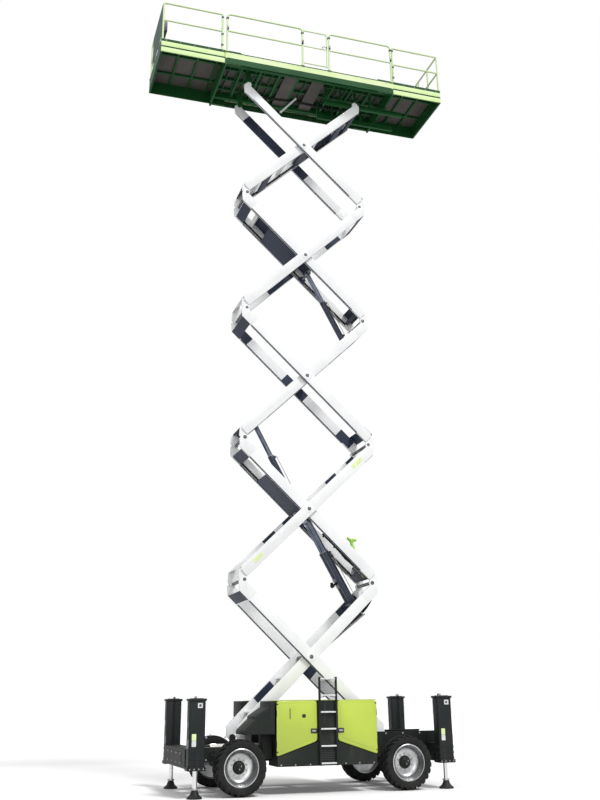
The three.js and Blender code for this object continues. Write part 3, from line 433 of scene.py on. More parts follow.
def bentPath(corners, radius, rounds=5):
    # straight runs between corners, with each inner corner replaced by a curve
    corners = np.asarray(corners, float)
    if len(corners) == 2:
        return corners
    middle = corners[1:-1]
    back, ahead = corners[:-2] - middle, corners[2:] - middle
    lengths = [np.linalg.norm(v, axis=1, keepdims=True) for v in (back, ahead)]
    a = (middle + back / lengths[0] * np.minimum(radius, 0.48 * lengths[0]))[:, None]
    b = (middle + ahead / lengths[1] * np.minimum(radius, 0.48 * lengths[1]))[:, None]
    t = np.linspace(0, 1, rounds + 1)[None, :, None]
    bends = (a * (1 - t) ** 2 + 2 * middle[:, None] * t * (1 - t) + b * t ** 2).reshape(-1, 3)
    return np.vstack([corners[:1], bends, corners[-1:]])


def lathe(profile, axis, centre, sides=24, closed=False):
    # A profile of (radius, distance along the axis) turned once round the axis; a closed one is a ring.
    profile = np.asarray(profile, float)
    angle = np.linspace(0, 2 * np.pi, sides, endpoint=False)
    first, second = profile[:, :1] * np.cos(angle), profile[:, :1] * np.sin(angle)
    along = np.broadcast_to(profile[:, 1:], first.shape)
    parts = {"x": (along, first, second), "y": (second, along, first), "z": (first, second, along)}[axis]
    points = np.stack(parts, -1) + np.asarray(centre, float)
    if closed:
        return Shape(points, [gridFaces(len(profile), sides, closeRows=True)])
    faces = [gridFaces(len(profile), sides)]
    ends = [(0, np.arange(sides)), (len(profile) - 1, np.arange(sides) + (len(profile) - 1) * sides)]
    faces += [cap for row, cap in ends if profile[row, 0] > 1e-6]
    return Shape(points, faces)


def boltHeads(places, axis="y", outwards=-1, radius=0.012, height=0.008):
    # six-sided heads on a washer, all of them copies of one small shape
    profile = [(0, height), (radius * 0.9, height), (radius, height * 0.8), (radius, height * 0.25),
               (radius * 1.5, height * 0.25), (radius * 1.5, -0.001)]
    shape = lathe([(r, outwards * d) for r, d in profile], axis, (0, 0, 0), 6)
    return shape.copied(places)


meshSet = {"weld": 1e-5, "sliver": 1e-6, "creaseDegrees": 32}


def piece(name, body, parts, replaces=()):
    # joins shapes with their finishes into one object that rides on a body
    points = np.vstack([part[0].points for part in parts])
    faces, slots, finishes, offset = [], [], [], 0
    for shape, finish in parts:
        if finish not in finishes:
            finishes.append(finish)
        for group in shape.faces:
            faces += (group + offset).tolist()
            slots += [finishes.index(finish)] * len(group)
        offset += len(shape.points)
    mesh = bpy.data.meshes.new(name)
    mesh.from_pydata(points.tolist(), [], faces)
    for finish in finishes:
        mesh.materials.append(finish)
    mesh.polygons.foreach_set("material_index", slots)
    mesh.update()
    tidy = bmesh.new()
    tidy.from_mesh(mesh)
    bmesh.ops.remove_doubles(tidy, verts=tidy.verts, dist=meshSet["weld"])
    bmesh.ops.dissolve_degenerate(tidy, edges=tidy.edges, dist=meshSet["sliver"])
    bmesh.ops.recalc_face_normals(tidy, faces=tidy.faces)
    tidy.to_mesh(mesh)
    tidy.free()
    mesh.polygons.foreach_set("use_smooth", [True] * len(mesh.polygons))
    mesh.set_sharp_from_angle(angle=math.radians(meshSet["creaseDegrees"]))
    made = bpy.data.objects.new(name, mesh)
    bpy.context.scene.collection.objects.link(made)
    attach(made, body)
    if replaces:
        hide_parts(*replaces)


def mid(node):
    low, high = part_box(node)
    return np.array((low + high) / 2)


def corners(node):
    low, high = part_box(node)
    return np.array(low), np.array(high)


def pinOf(name):
    return np.array(joints[name]["pos_m"])


# view, light and floor

view = {"place": (-5.4724, -16.9152, 1.4447), "heading": 17.97, "pitch": 20.70, "roll": 0.684,
        "lens": 42.6, "shiftY": -0.075}


def placeCamera():
    heading, pitch, roll = (math.radians(view[key]) for key in ("heading", "pitch", "roll"))
    right = np.array([math.cos(heading), -math.sin(heading), 0])
    level = np.array([math.sin(heading), math.cos(heading), 0])
    up = np.array([0, 0, 1])
    forward = level * math.cos(pitch) + up * math.sin(pitch)
    top = -level * math.sin(pitch) + up * math.cos(pitch)
    across = math.cos(roll) * right - math.sin(roll) * top
    upright = math.sin(roll) * right + math.cos(roll) * top
    camera = bpy.data.objects.new("camera", bpy.data.cameras.new("camera"))
    bpy.context.scene.collection.objects.link(camera)
    camera.data.lens = view["lens"]
    camera.data.shift_y = view["shiftY"]
    camera.data.clip_end = 300
    turn = Matrix([list(row) + [0] for row in np.stack([across, upright, -forward], 1)] + [[0, 0, 0, 1]])
    camera.matrix_world = Matrix.Translation(view["place"]) @ turn
    bpy.context.scene.camera = camera


light = {"sunStrength": 2.0, "sunTurn": (38, 0, 20), "sunAngle": 14,
         "fillStrength": 0.55, "fillTurn": (78, 0, -14), "fillAngle": 40,
         "above": 0.74, "below": 0.54, "fadeFrom": -0.25, "fadeTo": 0.45,
         "floorSize": 60.0, "floorLow": -0.002, "floorSeen": 0.93, "floorGiven": 0.45}


def addSun(name, strength, turn, angle):
    lamp = bpy.data.lights.new(name, "SUN")
    lamp.energy = strength
    lamp.angle = math.radians(angle)
    made = bpy.data.objects.new(name, lamp)
    made.rotation_euler = [math.radians(part) for part in turn]
    bpy.context.scene.collection.objects.link(made)


def lightStage():
    addSun("keyLight", light["sunStrength"], light["sunTurn"], light["sunAngle"])
    addSun("fillLight", light["fillStrength"], light["fillTurn"], light["fillAngle"])
    world = bpy.data.worlds.new("studio")
    bpy.context.scene.world = world
    world.use_nodes = True
    nodes, links = world.node_tree.nodes, world.node_tree.links
    nodes.clear()
    rays = nodes.new("ShaderNodeLightPath")
    seen = nodes.new("ShaderNodeMath")
    seen.operation = "MAXIMUM"
    links.new(rays.outputs["Is Camera Ray"], seen.inputs[0])
    links.new(rays.outputs["Is Transmission Ray"], seen.inputs[1])
    spot = nodes.new("ShaderNodeTexCoord")
    split = nodes.new("ShaderNodeSeparateXYZ")
    links.new(spot.outputs["Generated"], split.inputs[0])
    sky = nodes.new("ShaderNodeMapRange")
    for socket, key in (("From Min", "fadeFrom"), ("From Max", "fadeTo"), ("To Min", "below"),
                        ("To Max", "above")):
        sky.inputs[socket].default_value = light[key]
    links.new(split.outputs["Z"], sky.inputs["Value"])
    strength = nodes.new("ShaderNodeMix")
    links.new(seen.outputs[0], strength.inputs[0])
    links.new(sky.outputs[0], strength.inputs[2])
    strength.inputs[3].default_value = 1.0
    back = nodes.new("ShaderNodeBackground")
    back.inputs["Color"].default_value = (1, 1, 1, 1)
    links.new(strength.outputs[0], back.inputs["Strength"])
    out = nodes.new("ShaderNodeOutputWorld")
    links.new(back.outputs[0], out.inputs["Surface"])


def layFloor():
    # one flat square, pale to the camera and to shiny surfaces, darker to the light that it throws back up
    size = light["floorSize"]
    grid = np.stack(np.meshgrid([-size, size], [-size, size]), -1).reshape(-1, 2)
    mesh = bpy.data.meshes.new("studioFloor")
    mesh.from_pydata(np.column_stack([grid, np.full(4, light["floorLow"])]).tolist(), [], [[0, 1, 3, 2]])
    finish = Finish("studioFloor")
    seen = finish.add("ShaderNodeLightPath", {}, {}, "Is Camera Ray")
    shiny = finish.add("ShaderNodeLightPath", {}, {}, "Is Glossy Ray")
    given, plain = ((light[key],) * 3 + (1,) for key in ("floorGiven", "floorSeen"))
    tone = finish.mix(seen.sum("MAXIMUM", seen, shiny), given, plain)
    finish.close(finish.add("ShaderNodeBsdfDiffuse", {}, {"Color": tone}))
    mesh.materials.append(finish.material)
    floor = bpy.data.objects.new("studioFloor", mesh)
    bpy.context.scene.collection.objects.link(floor)


placeCamera()
lightStage()
layFloor()
bpy.context.scene.view_settings.view_transform = "Standard"
print("camera, light and floor placed")

# finishes of the nodes that keep their own shape

slotFinish = {"lime": limePaint, "charcoal": charcoalPaint, "arm_white": armWhite, "tyre": tyreRubber,
              "rim_silver": rimPaint, "bright_steel": rodChrome, "engine_grey": enginePaint}
for name, node in cadNodes.items():
    for slot in node.material_slots:
        key = next((key for key in slotFinish if slot.material and key in slot.material.name), None)
        slot.material = slotFinish.get(key, charcoalPaint)
for name, finish in (("deck_main", mainDeckPaint), ("deck_extension_left", sideDeckPaint),
                     ("deck_extension_right", sideDeckPaint)):
    for slot in cadNodes[name].material_slots:
        slot.material = finish
print("kept nodes finished:", len(cadNodes))


# scissor arms: five stages, each with an outer and an inner frame

armSet = {"depth": 0.200, "thickness": 0.050, "outerY": 0.435, "innerY": 0.375, "foldGap": 0.010,
          "ear": 0.055, "earGap": 0.015, "earRoot": 0.320, "pin": 0.030, "middlePin": 0.035, "edge": 0.006,
          "stages": 5, "tube": 0.080}
fixedPin = pinOf("lift")
stageRise = pinOf("elbow_1_2")[2] - fixedPin[2]
crossX = pinOf("crossing_1")[0]
pinLine = math.hypot(2 * (crossX - fixedPin[0]), stageRise)
pinOffset = (armSet["depth"] + armSet["foldGap"]) / 2
pinReach = math.sqrt((pinLine / 2) ** 2 - pinOffset ** 2)
armTilt = math.atan2(stageRise, 2 * (crossX - fixedPin[0])) - math.asin(2 * pinOffset / pinLine)


def outerRise(stage):  # -1 where the outer arms fall towards +X, +1 where they climb
    return -1 if stage % 2 else 1


def tilted(shape, stage, rise):
    # from the arm's own level frame to its place in the stack
    c, s = math.cos(rise * armTilt), math.sin(rise * armTilt)
    centre = pinOf(f"crossing_{stage}")
    return shape.turned([[c, 0, -s], [0, 1, 0], [s, 0, c]]).moved((centre[0], 0, centre[2]))


def bothSides(shape):
    return shape + shape.mirrored(1)


def beamOutline(rise):
    end = pinReach - armSet["ear"] - armSet["earGap"]
    half = armSet["depth"] / 2
    cut = 0.6 * (armSet["ear"] + armSet["earGap"])
    outline = np.array([[-end, -half], [end - cut, -half], [end, -half + cut], [end, half],
                        [-end + cut, half],
                        [-end, half - cut]])
    outline[:, 1] *= rise
    return softOutline(outline, 0.012, 2)


def earOutline(rise, end):
    # flat end plate: the arm's full depth at its root, then round the pin
    side = end * rise
    half = armSet["depth"] / 2
    pinZ = side * pinOffset
    angle = np.linspace(0, np.pi, 9)
    arc = np.stack([pinReach + armSet["ear"] * np.cos(angle), pinZ + side * armSet["ear"] * np.sin(angle)],
                   -1)
    tip = pinReach + armSet["ear"]
    start = [[pinReach - armSet["earRoot"], -side * half], [tip - 0.120, -side * half],
             [tip, pinZ - side * 0.095]]
    finish = [[pinReach - armSet["ear"] - armSet["earGap"], side * half],
              [pinReach - armSet["earRoot"], side * half]]
    outline = np.vstack([start, arc, finish])
    outline[:, 0] *= end
    return outline


def layerOf(stage, outerY, rise, end):
    # which part of the arm's thickness an end plate takes
    inner = outerY - armSet["thickness"]
    lower = end == -rise
    whole = (lower and stage == 1) or (not lower and stage == armSet["stages"])
    if whole:
        return inner, outerY
    return (inner, outerY - 0.026) if lower else (outerY - 0.024, outerY)


def pinCap(x, z, y, radius=0.03, height=0.010):
    # keeper washer with a domed head
    profile = [(0, height + 0.004), (radius * 0.55, height + 0.003), (radius * 0.9, height),
               (radius, height * 0.6), (radius, 0.004), (radius * 1.5, 0.004),
               (radius * 1.55, 0.0), (0, -0.001)]
    return lathe([(r, -d) for r, d in profile], "y", (x, -y, z), 16)


def armSolid(stage, outerY, rise):
    inner = outerY - armSet["thickness"]
    parts = [slab(beamOutline(rise), "y", inner, outerY, armSet["edge"], 3)]
    for end in (-1, 1):
        start, stop = layerOf(stage, outerY, rise, end)
        skin = 0.0008  # keeps the two faces from lying in one plane
        start -= skin if start == inner else 0
        stop += skin if stop == outerY else 0
        parts.append(slab(earOutline(rise, end), "y", start, stop, 0.004, 2))
    # a doubler plate under the crossing pin
    ring = [(0.036, 0.0), (0.036, 0.003), (0.084, 0.003), (0.090, 0.0)]
    parts.append(lathe(ring, "y", (0, outerY, 0), 24))
    return bothSides(gathered(parts))


# cross members of the inner frames: (from, to) along the arm and the face they lie on
tiePlates = {1: [(-1.62, -1.40, -1), (-1.20, -0.62, -1), (1.42, 1.66, -1), (-0.10, 0.30, -1)],
             2: [(-1.66, -1.45, -1), (-1.00, -0.10, -1), (-0.10, 0.10, 1), (1.45, 1.66, 1), (1.52, 1.68, -1)],
             3: [(-1.66, -1.48, 1), (-0.14, 0.20, -1), (1.46, 1.66, -1)],
             4: [(-1.66, -1.46, -1), (-1.28, -0.95, 1), (-0.92, -0.12, -1), (-0.05, 0.22, 1),
                 (1.40, 1.66, 1)],
             5: [(-1.66, -1.45, 1), (-1.22, -1.00, -1), (-0.12, 0.26, -1), (1.05, 1.30, -1),
                 (1.50, 1.66, -1)]}
crossTubes = {1: [-1.300, -0.500], 2: [-1.580, 1.580], 3: [-1.580, 1.580], 4: [-1.300, -0.500, 1.580],
              5: [-1.300, -0.500, 0.500, 1.300]}


# painted shade: dark panels (from, to) along the far outer arm's inner face, and on the inner frames, where
# those faces lie in shade; on stage 5 they stand for the platform's shadow
shadePanels = {1: [(-0.05, 0.42)], 2: [(-0.83, -0.52), (-0.30, 0.05), (0.91, 1.20), (1.52, 1.72)],
              3: [(-1.62, -1.30), (-0.30, 0.30), (1.25, 1.62)], 4: [(-0.80, 0.10), (0.97, 1.40)],
              5: [(-1.45, 0.42)]}
innerShadePanels = {1: [(-1.06, -0.65), (1.10, 1.60)], 2: [], 3: [(-0.90, 0.05), (0.90, 1.30)], 4: [],
               5: [(0.22, 1.60)]}


def edgeShadeLines(outer):
    # painted shade: narrow dark strips along the two long edges of a falling arm's lower face
    inner = outer - armSet["thickness"]
    end = pinReach - armSet["earRoot"]
    return bothSides(block((-end, outer - 0.014, -0.1025), (end, outer + 0.0015, -0.088), 0.001, 1)
                     + block((-end, inner - 0.0015, -0.1025), (end, inner + 0.014, -0.088), 0.001, 1))


def outerFrame(stage):
    rise = outerRise(stage)
    outer = armSet["outerY"]
    white = [armSolid(stage, outer, rise)]
    # dark parts take the painted shade colour
    steel, dark = [], []
    lift = 0.0 if stage == 1 else 0.004
    steel.append(bothSides(pinCap(0, 0, outer, 0.022, 0.002 + lift)))
    steel.append(pipe([(0, -outer + 0.001, 0), (0, outer - 0.001, 0)], armSet["middlePin"], 16, (1, 0, 0)))
    if stage < armSet["stages"]:
        x, z = rise * pinReach, pinOffset
        steel.append(pipe([(x, -outer, z), (x, outer, z)], armSet["pin"], 16, (1, 0, 0)))
        steel.append(bothSides(pinCap(x, z, outer, 0.020, 0.006)))
    # full-width closing plates on the side of the arms that faces out at each elbow
    for end in (-1, 1):
        if (end == -rise and stage == 1) or (end == rise and stage == armSet["stages"]):
            continue
        side = -end * rise
        start, stop = end * (pinReach - 0.075), end * (pinReach - 0.285)
        plate = bothSides(block((start, outer - 0.044, side * 0.0985),
                                (stop, outer - 0.006, side * 0.1042), 0.001, 1))
        if stage < armSet["stages"]:
            plate = plate + block((start, -outer + 0.004, side * 0.1032),
                                  (stop, outer - 0.004, side * 0.1048), 0.0005, 1)
        # painted shade: only the upper plates at the left elbows, except on stage 3, stay white; the rest
        # take the dark shade colour
        (white if side > 0 and end < 0 and stage != 3 else dark).append(plate)
    inside = outer - armSet["thickness"]
    for start, stop in shadePanels[stage]:  # painted shade: dark panels on the far arm's inner face
        dark.append(block((start, inside - 0.004, -0.092), (stop, inside + 0.002, 0.096), 0.002, 1))
    if rise < 0:
        dark.append(edgeShadeLines(outer))
    shapes = [(tilted(gathered(white), stage, rise), armWhite),
              (tilted(gathered(steel), stage, rise), pinSteel)]
    if stage == 5:  # painted shadow along its lower face too
        dark.append(block((-1.45, inside + 0.002, -0.104), (0.10, outer - 0.002, -0.098), 0.002, 1))
    if dark:
        shapes.append((tilted(gathered(dark), stage, rise), darkPrimer))
    if stage == 1:
        x = -rise * pinReach
        rollers = [(0.0, -0.004), (0.030, 0.0), (0.046, 0.0), (0.050, 0.004), (0.050, 0.036), (0.046, 0.040),
                   (0.026, 0.040), (0.0, 0.046)]
        roller = lathe([(r, -d) for r, d in rollers], "y", (x, -outer - 0.006, -pinOffset), 24)
        shaft = pipe([(x, -outer - 0.010, -pinOffset), (x, outer + 0.010, -pinOffset)], 0.025, 14, (1, 0, 0))
        shapes.append((tilted(bothSides(roller) + shaft, stage, rise), pinSteel))
    piece(f"armsOuter{stage}", f"arms_{stage}_outer", shapes, [f"arms_{stage}_outer"])


def innerFrame(stage):
    rise = -outerRise(stage)
    outer = armSet["innerY"]
    inner = outer - armSet["thickness"]
    white = [armSolid(stage, outer, rise)]
    # dark parts take the painted shade colour: end tubes, tie plates, bosses, webs, panels and edge strips
    steel, dark = [], []
    half = armSet["tube"] / 2
    for x in crossTubes[stage]:
        # painted shade: the tubes near the ends are dark, the middle ones white
        (dark if abs(x) > 1.4 else white).append(
            block((x - half, -inner - 0.002, -half), (x + half, inner + 0.002, half), 0.010, 3))
        for y in (-inner, inner):  # weld collar
            white.append(block((x - half - 0.006, y - 0.004, -half - 0.006),
                               (x + half + 0.006, y + 0.004, half + 0.006),
                               0.004, 1))
    # painted shade: tie plates and their flanges in the dark shade colour
    for start, stop, side in tiePlates[stage]:
        dark.append(block((start, -inner - 0.002, side * 0.086),
                          (stop, inner + 0.002, side * 0.096), 0.003, 1))
        for x in (start, stop):  # turned-in flanges
            dark.append(block((x - 0.005, -inner - 0.002, side * 0.060),
                              (x + 0.005, inner + 0.002, side * 0.092),
                              0.002, 1))
    for at, width in frameEyes(stage):
        if width == 0:
            steel.append(pipe([(at[0], -inner - 0.002, at[1]), (at[0], inner + 0.002, at[1])],
                              0.030, 16, (1, 0, 0)))
            boss = [(0.030, 0.0), (0.062, 0.0), (0.062, 0.050), (0.045, 0.062), (0.030, 0.062)]
            dark.append(bothSides(lathe([(r, inner - d) for r, d in boss], "y", (at[0], 0, at[1]), 20)))
        else:
            stub = pipe([(at[0], width + 0.002, at[1]), (at[0], inner + 0.002, at[1])], 0.030, 16, (1, 0, 0))
            collar = [(0.0, 0.0008), (0.059, 0.0008), (0.062, 0.004), (0.062, 0.012),
                      (0.059, 0.0158), (0.0, 0.0158)]
            steel.append(bothSides(stub + lathe([(r, width + d) for r, d in collar], "y",
                                                (at[0], 0, at[1]), 20)))
            web = slab(softOutline([(at[0] - 0.10, -0.095), (at[0] + 0.10, -0.095),
                                    (at[0] + 0.05, at[1] + 0.05),
                                    (at[0] - 0.05, at[1] + 0.05)], 0.02), "y", inner - 0.030,
                       inner - 0.018, 0.002, 1)
            dark.append(bothSides(web))
    if stage < armSet["stages"]:
        x, z = rise * pinReach, pinOffset
        steel.append(pipe([(x, -outer, z), (x, outer, z)], armSet["pin"], 16, (1, 0, 0)))
        steel.append(bothSides(pinCap(x, z, outer, 0.024, 0.003)))
    else:
        x = rise * pinReach
        roll = [(0.0, 0.0), (0.038, 0.0), (0.042, 0.004), (0.042, 0.040), (0.038, 0.044), (0.0, 0.044)]
        roller = lathe([(r, inner - 0.057 + d) for r, d in roll], "y", (x, 0, pinOffset), 24)
        stub = pipe([(x, inner - 0.02, pinOffset), (x, inner + 0.005, pinOffset)], 0.022, 12, (1, 0, 0))
        steel.append(bothSides(roller + stub))
    # painted shade: dark panels on the inner arm's face
    for start, stop in innerShadePanels[stage]:
        dark.append(block((start, inner - 0.004, -0.092), (stop, inner + 0.002, 0.096), 0.002, 1))
    if rise < 0:
        dark.append(edgeShadeLines(outer))
    shapes = [(tilted(gathered(white), stage, rise), armWhite),
              (tilted(gathered(dark), stage, rise), darkPrimer)]
    if steel:
        shapes.append((tilted(gathered(steel), stage, rise), pinSteel))
    piece(f"armsInner{stage}", f"arms_{stage}_inner", shapes, [f"arms_{stage}_inner"])


# Lift cylinders: which elbow each one opens, and how far its two eyes lie from it
cylinders = {"lower": {"stage": 1, "end": 1, "barrel": 0.450, "rod": 1.620, "radius": 0.062, "twin": 0.088,
                       "tube": 1.067, "bar": 0.040},
             "middle": {"stage": 2, "end": -1, "barrel": 1.500, "rod": 0.450, "radius": 0.060, "twin": 0.0,
                        "tube": 0.948, "bar": 0.046},
             "upper": {"stage": 3, "end": 1, "barrel": 0.450, "rod": 1.500, "radius": 0.060, "twin": 0.0,
                       "tube": 0.948, "bar": 0.046}}
eyeLift = 0.040


def frameEyes(stage):
    # the eyes' places on an inner frame, and half the width between the collars (0 for a through pin)
    eyes = []
    for look in cylinders.values():
        if look["stage"] == stage:
            eyes.append(((look["end"] * (pinReach - look["barrel"]), eyeLift), 0))
        if look["stage"] + 1 == stage:
            eyes.append(((look["end"] * (pinReach - look["rod"]), -eyeLift), look["twin"] + look["radius"]))
    return eyes


for stage in range(1, armSet["stages"] + 1):
    outerFrame(stage)
    innerFrame(stage)
print("arms made")


def liftCylinder(name):
    # barrel, gland nut and ports run along the line between its two eyes
    look = cylinders[name]
    start = pinOf(f"barrel_{name}_pivot")
    along = np.array(joints[f"rod_{name}_slide"]["axis"])
    along = along / np.linalg.norm(along)
    rise = look["end"]
    c, s = math.cos(-rise * armTilt), math.sin(-rise * armTilt)
    at = (look["end"] * (pinReach - look["rod"]), -eyeLift)
    centre = pinOf(f"crossing_{look['stage'] + 1}")
    far = np.array([centre[0] + at[0] * c - at[1] * s, 0, centre[2] + at[0] * s + at[1] * c])
    length = float(np.linalg.norm(far - start))
    up = np.cross([0, 1, 0], along)
    turn = np.stack([along, [0, 1, 0], up], 1)
    radius, tube = look["radius"], look["tube"]
    lines = (-look["twin"], look["twin"]) if look["twin"] else (0.0,)
    width = look["twin"] + radius
    eye = [(0.0, -width), (0.052, -width), (0.058, -width + 0.006), (0.058, width - 0.006),
           (0.052, width), (0.0, width)]
    dark, steel, bright, hose = [lathe(eye, "y", (0, 0, 0), 24)], [], [], []
    bright.append(lathe([(r * 0.9, d) for r, d in eye], "y", (length, 0, 0), 24))
    for y in lines:
        body = [(0.0, 0.030), (radius * 0.9, 0.032), (radius * 0.97, 0.050), (radius * 0.97, tube - 0.080),
                (radius, tube - 0.078), (radius, tube - 0.004), (radius * 0.96, tube), (0.0, tube)]
        dark.append(lathe(body, "x", (0, y, 0), 28))
        steel.append(lathe([(0.042, tube - 0.002), (0.054, tube - 0.002), (0.054, tube + 0.006),
                            (0.042, tube + 0.010)],
                           "x", (0, y, 0), 24))
        bright.append(lathe([(0.0, length - 0.95), (look["bar"], length - 0.948),
                             (look["bar"], length - 0.030), (0.0, length - 0.030)],
                            "x", (0, y, 0), 24))
        for x in (0.13, tube - 0.05):  # ports on the upper side, joined by a pipe
            dark.append(block((x - 0.024, y - 0.024, radius * 0.8),
                              (x + 0.024, y + 0.024, radius + 0.022), 0.004, 2))
            steel.append(lathe([(0.0, 0.034), (0.012, 0.034), (0.014, 0.030), (0.014, 0.0)], "z",
                               (x, y, radius + 0.012), 6))
        steel.append(pipe(bentPath([(0.13, y, radius + 0.03), (0.13, y, radius + 0.046),
                                    (tube - 0.05, y, radius + 0.046),
                                    (tube - 0.05, y, radius + 0.03)], 0.02), 0.007, 8))
    if look["twin"]:  # cross plate between the twin barrels, and the lowering valve below it
        dark.append(block((0.36, -0.10, -radius - 0.006), (0.56, 0.10, -radius + 0.012), 0.006, 2))
        hose.append(lathe([(0.0, -0.190), (0.030, -0.188), (0.038, -0.176), (0.038, -0.130), (0.020, -0.120),
                           (0.016, -0.090), (0.028, -0.084), (0.028, -radius + 0.010)], "z",
                          (0.460, 0, 0), 14))
        hose.append(block((0.430, -0.030, -0.170), (0.520, 0.030, -0.125), 0.008, 2))
    for part, groups in (("barrel", ((dark, cylinderBlue), (steel, boltSteel), (hose, hoseRubber))),
                         ("rod", ((bright, rodSteel),))):
        shapes = [(gathered(group).turned(turn).moved(start), finish) for group, finish in groups if group]
        node = f"lift_{part}_{name}"
        piece(node.replace("_", ""), node, shapes, [node])


for name in cylinders:
    liftCylinder(name)
print("lift cylinders made")

# wheels: profiles are (radius, distance from the wheel's middle plane)

wheelSet = {"lugs": 24, "skew": 1.9, "nuts": 10, "nutRing": 0.128,
            "tyre": [(0.2858, -0.128), (0.300, -0.140), (0.325, -0.147), (0.350, -0.149), (0.372, -0.146),
                     (0.386, -0.132), (0.392, -0.105), (0.394, 0.0)],
            "rim": [(0.0, -0.060), (0.262, -0.060), (0.268, -0.075), (0.268, -0.130), (0.2780, -0.138),
                    (0.2845, -0.134), (0.2845, 0.134), (0.2780, 0.138), (0.270, 0.137), (0.266, 0.128),
                    (0.262, 0.095), (0.257, 0.080), (0.250, 0.045), (0.236, 0.005), (0.210, -0.026),
                    (0.175, -0.040), (0.140, -0.044), (0.0, -0.045)],
            "hub": [(0.0, 0.068), (0.040, 0.066), (0.050, 0.056), (0.055, 0.026),
                    (0.078, 0.018), (0.086, 0.004),
                    (0.086, -0.028), (0.100, -0.032), (0.104, -0.046)]}


def treadLug():
    # One bar of the tread: a four-cornered section at each step across the half width, its turn
    # growing with the skew, its last steps folding down the side wall.
    across = np.array([-0.012, 0.030, 0.070, 0.105, 0.128, 0.143, 0.149])
    top = np.array([0.4170, 0.4185, 0.4185, 0.4165, 0.4110, 0.3970, 0.3720])
    foot = np.array([0.386, 0.389, 0.389, 0.387, 0.381, 0.368, 0.350])
    wide = np.array([0.015, 0.018, 0.020, 0.021, 0.022, 0.022, 0.017]) / 0.4
    turn = wheelSet["skew"] * np.maximum(across, 0.0)
    radius = np.stack([foot, top, top, foot], -1)
    angle = turn[:, None] + wide[:, None] * np.array([-1.25, -1.0, 1.0, 1.25])
    points = np.stack([radius * np.sin(angle), np.broadcast_to(across[:, None], radius.shape),
                       radius * np.cos(angle)], -1)
    return Shape(points, [gridFaces(len(across), 4), np.arange(4), np.arange(4) + 4 * (len(across) - 1)])


def turnsRound(count, start=0.0):
    angle = start + np.arange(count) * 2 * np.pi / count
    turns = np.zeros((count, 3, 3))
    turns[:, 0, 0] = turns[:, 2, 2] = np.cos(angle)
    turns[:, 0, 2], turns[:, 2, 0] = np.sin(angle), -np.sin(angle)
    turns[:, 1, 1] = 1
    return turns


def wheel(name):
    centre = mid(f"tyre_{name}")
    side = np.sign(centre[1])
    half = wheelSet["tyre"]
    loop = half + [(r, -t) for r, t in half[-2::-1]]
    carcass = lathe(loop, "y", (0, 0, 0), 72, closed=True)
    lug, still = treadLug(), np.zeros((wheelSet["lugs"], 3))
    lugs = lug.copied(still, turnsRound(wheelSet["lugs"]))
    lugs = lugs + lug.mirrored(1).copied(still, turnsRound(wheelSet["lugs"], np.pi / wheelSet["lugs"]))
    ribs = [lathe([(r, t - 0.003), (r + 0.003, t - 0.001), (r + 0.003, t + 0.001), (r, t + 0.003)],
                  "y", (0, 0, 0), 60,
                  closed=True) for r, t in ((0.338, -0.1465), (0.338, 0.1465))]
    piece(f"tyre{name.title().replace('_', '')}", f"wheel_{name}",
          [((carcass + lugs + gathered(ribs)).moved(centre), tyreRubber)], [f"tyre_{name}"])
    outward = lambda shape: shape if side > 0 else shape.mirrored(1)
    rim = lathe(wheelSet["rim"], "y", (0, 0, 0), 48)
    ring = turnsRound(wheelSet["nuts"])
    nut = lathe([(0, 0.022), (0.008, 0.022), (0.013, 0.018), (0.013, 0.004), (0.018, 0.003), (0.018, -0.002)],
                "y",
                (0, -0.044, wheelSet["nutRing"]), 6)
    nuts = nut.copied(np.zeros((wheelSet["nuts"], 3)), ring)
    hub = lathe(wheelSet["hub"], "y", (0, 0, 0), 32)
    plugs = lathe([(0, 0.006), (0.006, 0.006), (0.009, 0.004), (0.009, -0.001)], "y", (0, 0.066, 0.026), 6)
    valve = pipe([(0.0, 0.060, -0.262), (0.0, 0.085, -0.252)], 0.005, 8, (1, 0, 0))
    piece(f"rim{name.title().replace('_', '')}", f"wheel_{name}",
          [(outward(rim).moved(centre), rimPaint), (outward(nuts).moved(centre), boltSteel),
           (outward(hub + valve).moved(centre), charcoalPaint),
           (outward(plugs.copied(np.zeros((2, 3)), turnsRound(2, 0.6))).moved(centre), boltSteel)],
          [f"rim_{name}"])


for name in ("rear_near", "rear_far", "front_near", "front_far"):
    wheel(name)
print("wheels made")

# platform: rails, gate, decks and the frame under them

railSet = {"radius": 0.020, "bend": 0.10, "nearBend": 0.09, "fascia": 0.148, "middle": 0.437, "floor": 0.065}
mainLow, mainHigh = corners("deck_main")
farHigh = corners("rails_far")[1]
leftLow, leftHigh = corners("deck_extension_left")
rightLow, rightHigh = corners("deck_extension_right")
deckLeft, deckRight = mainLow[0], farHigh[0] + 0.015
fasciaTop = mainHigh[2]
fasciaLow = fasciaTop - railSet["fascia"]
railTop = farHigh[2] - railSet["radius"]
railMid = railTop - railSet["middle"]
floorUnder = fasciaTop - railSet["floor"]
stepFloor = leftHigh[2]


def loopRail(start, end, y, bottom, posts, bend):
    # one side frame: a bent top tube that comes down at both ends, a middle tube, posts, base plates
    r = railSet["radius"]
    top = pipe(bentPath([(start, y, bottom), (start, y, railTop), (end, y, railTop), (end, y, bottom)],
                        bend, 8), r, 14)
    parts = [top, pipe([(start, y, railMid), (end, y, railMid)], r * 0.9, 12, (0, 1, 0))]
    for x in posts:
        parts.append(pipe([(x, y, bottom), (x, y, railTop)], r * 0.95, 12, (0, 1, 0)))
    for x in [start, end, *posts]:
        parts.append(block((x - 0.038, y - 0.024, bottom - 0.0005),
                           (x + 0.038, y + 0.024, bottom + 0.008), 0.002, 1))
    return gathered(parts)


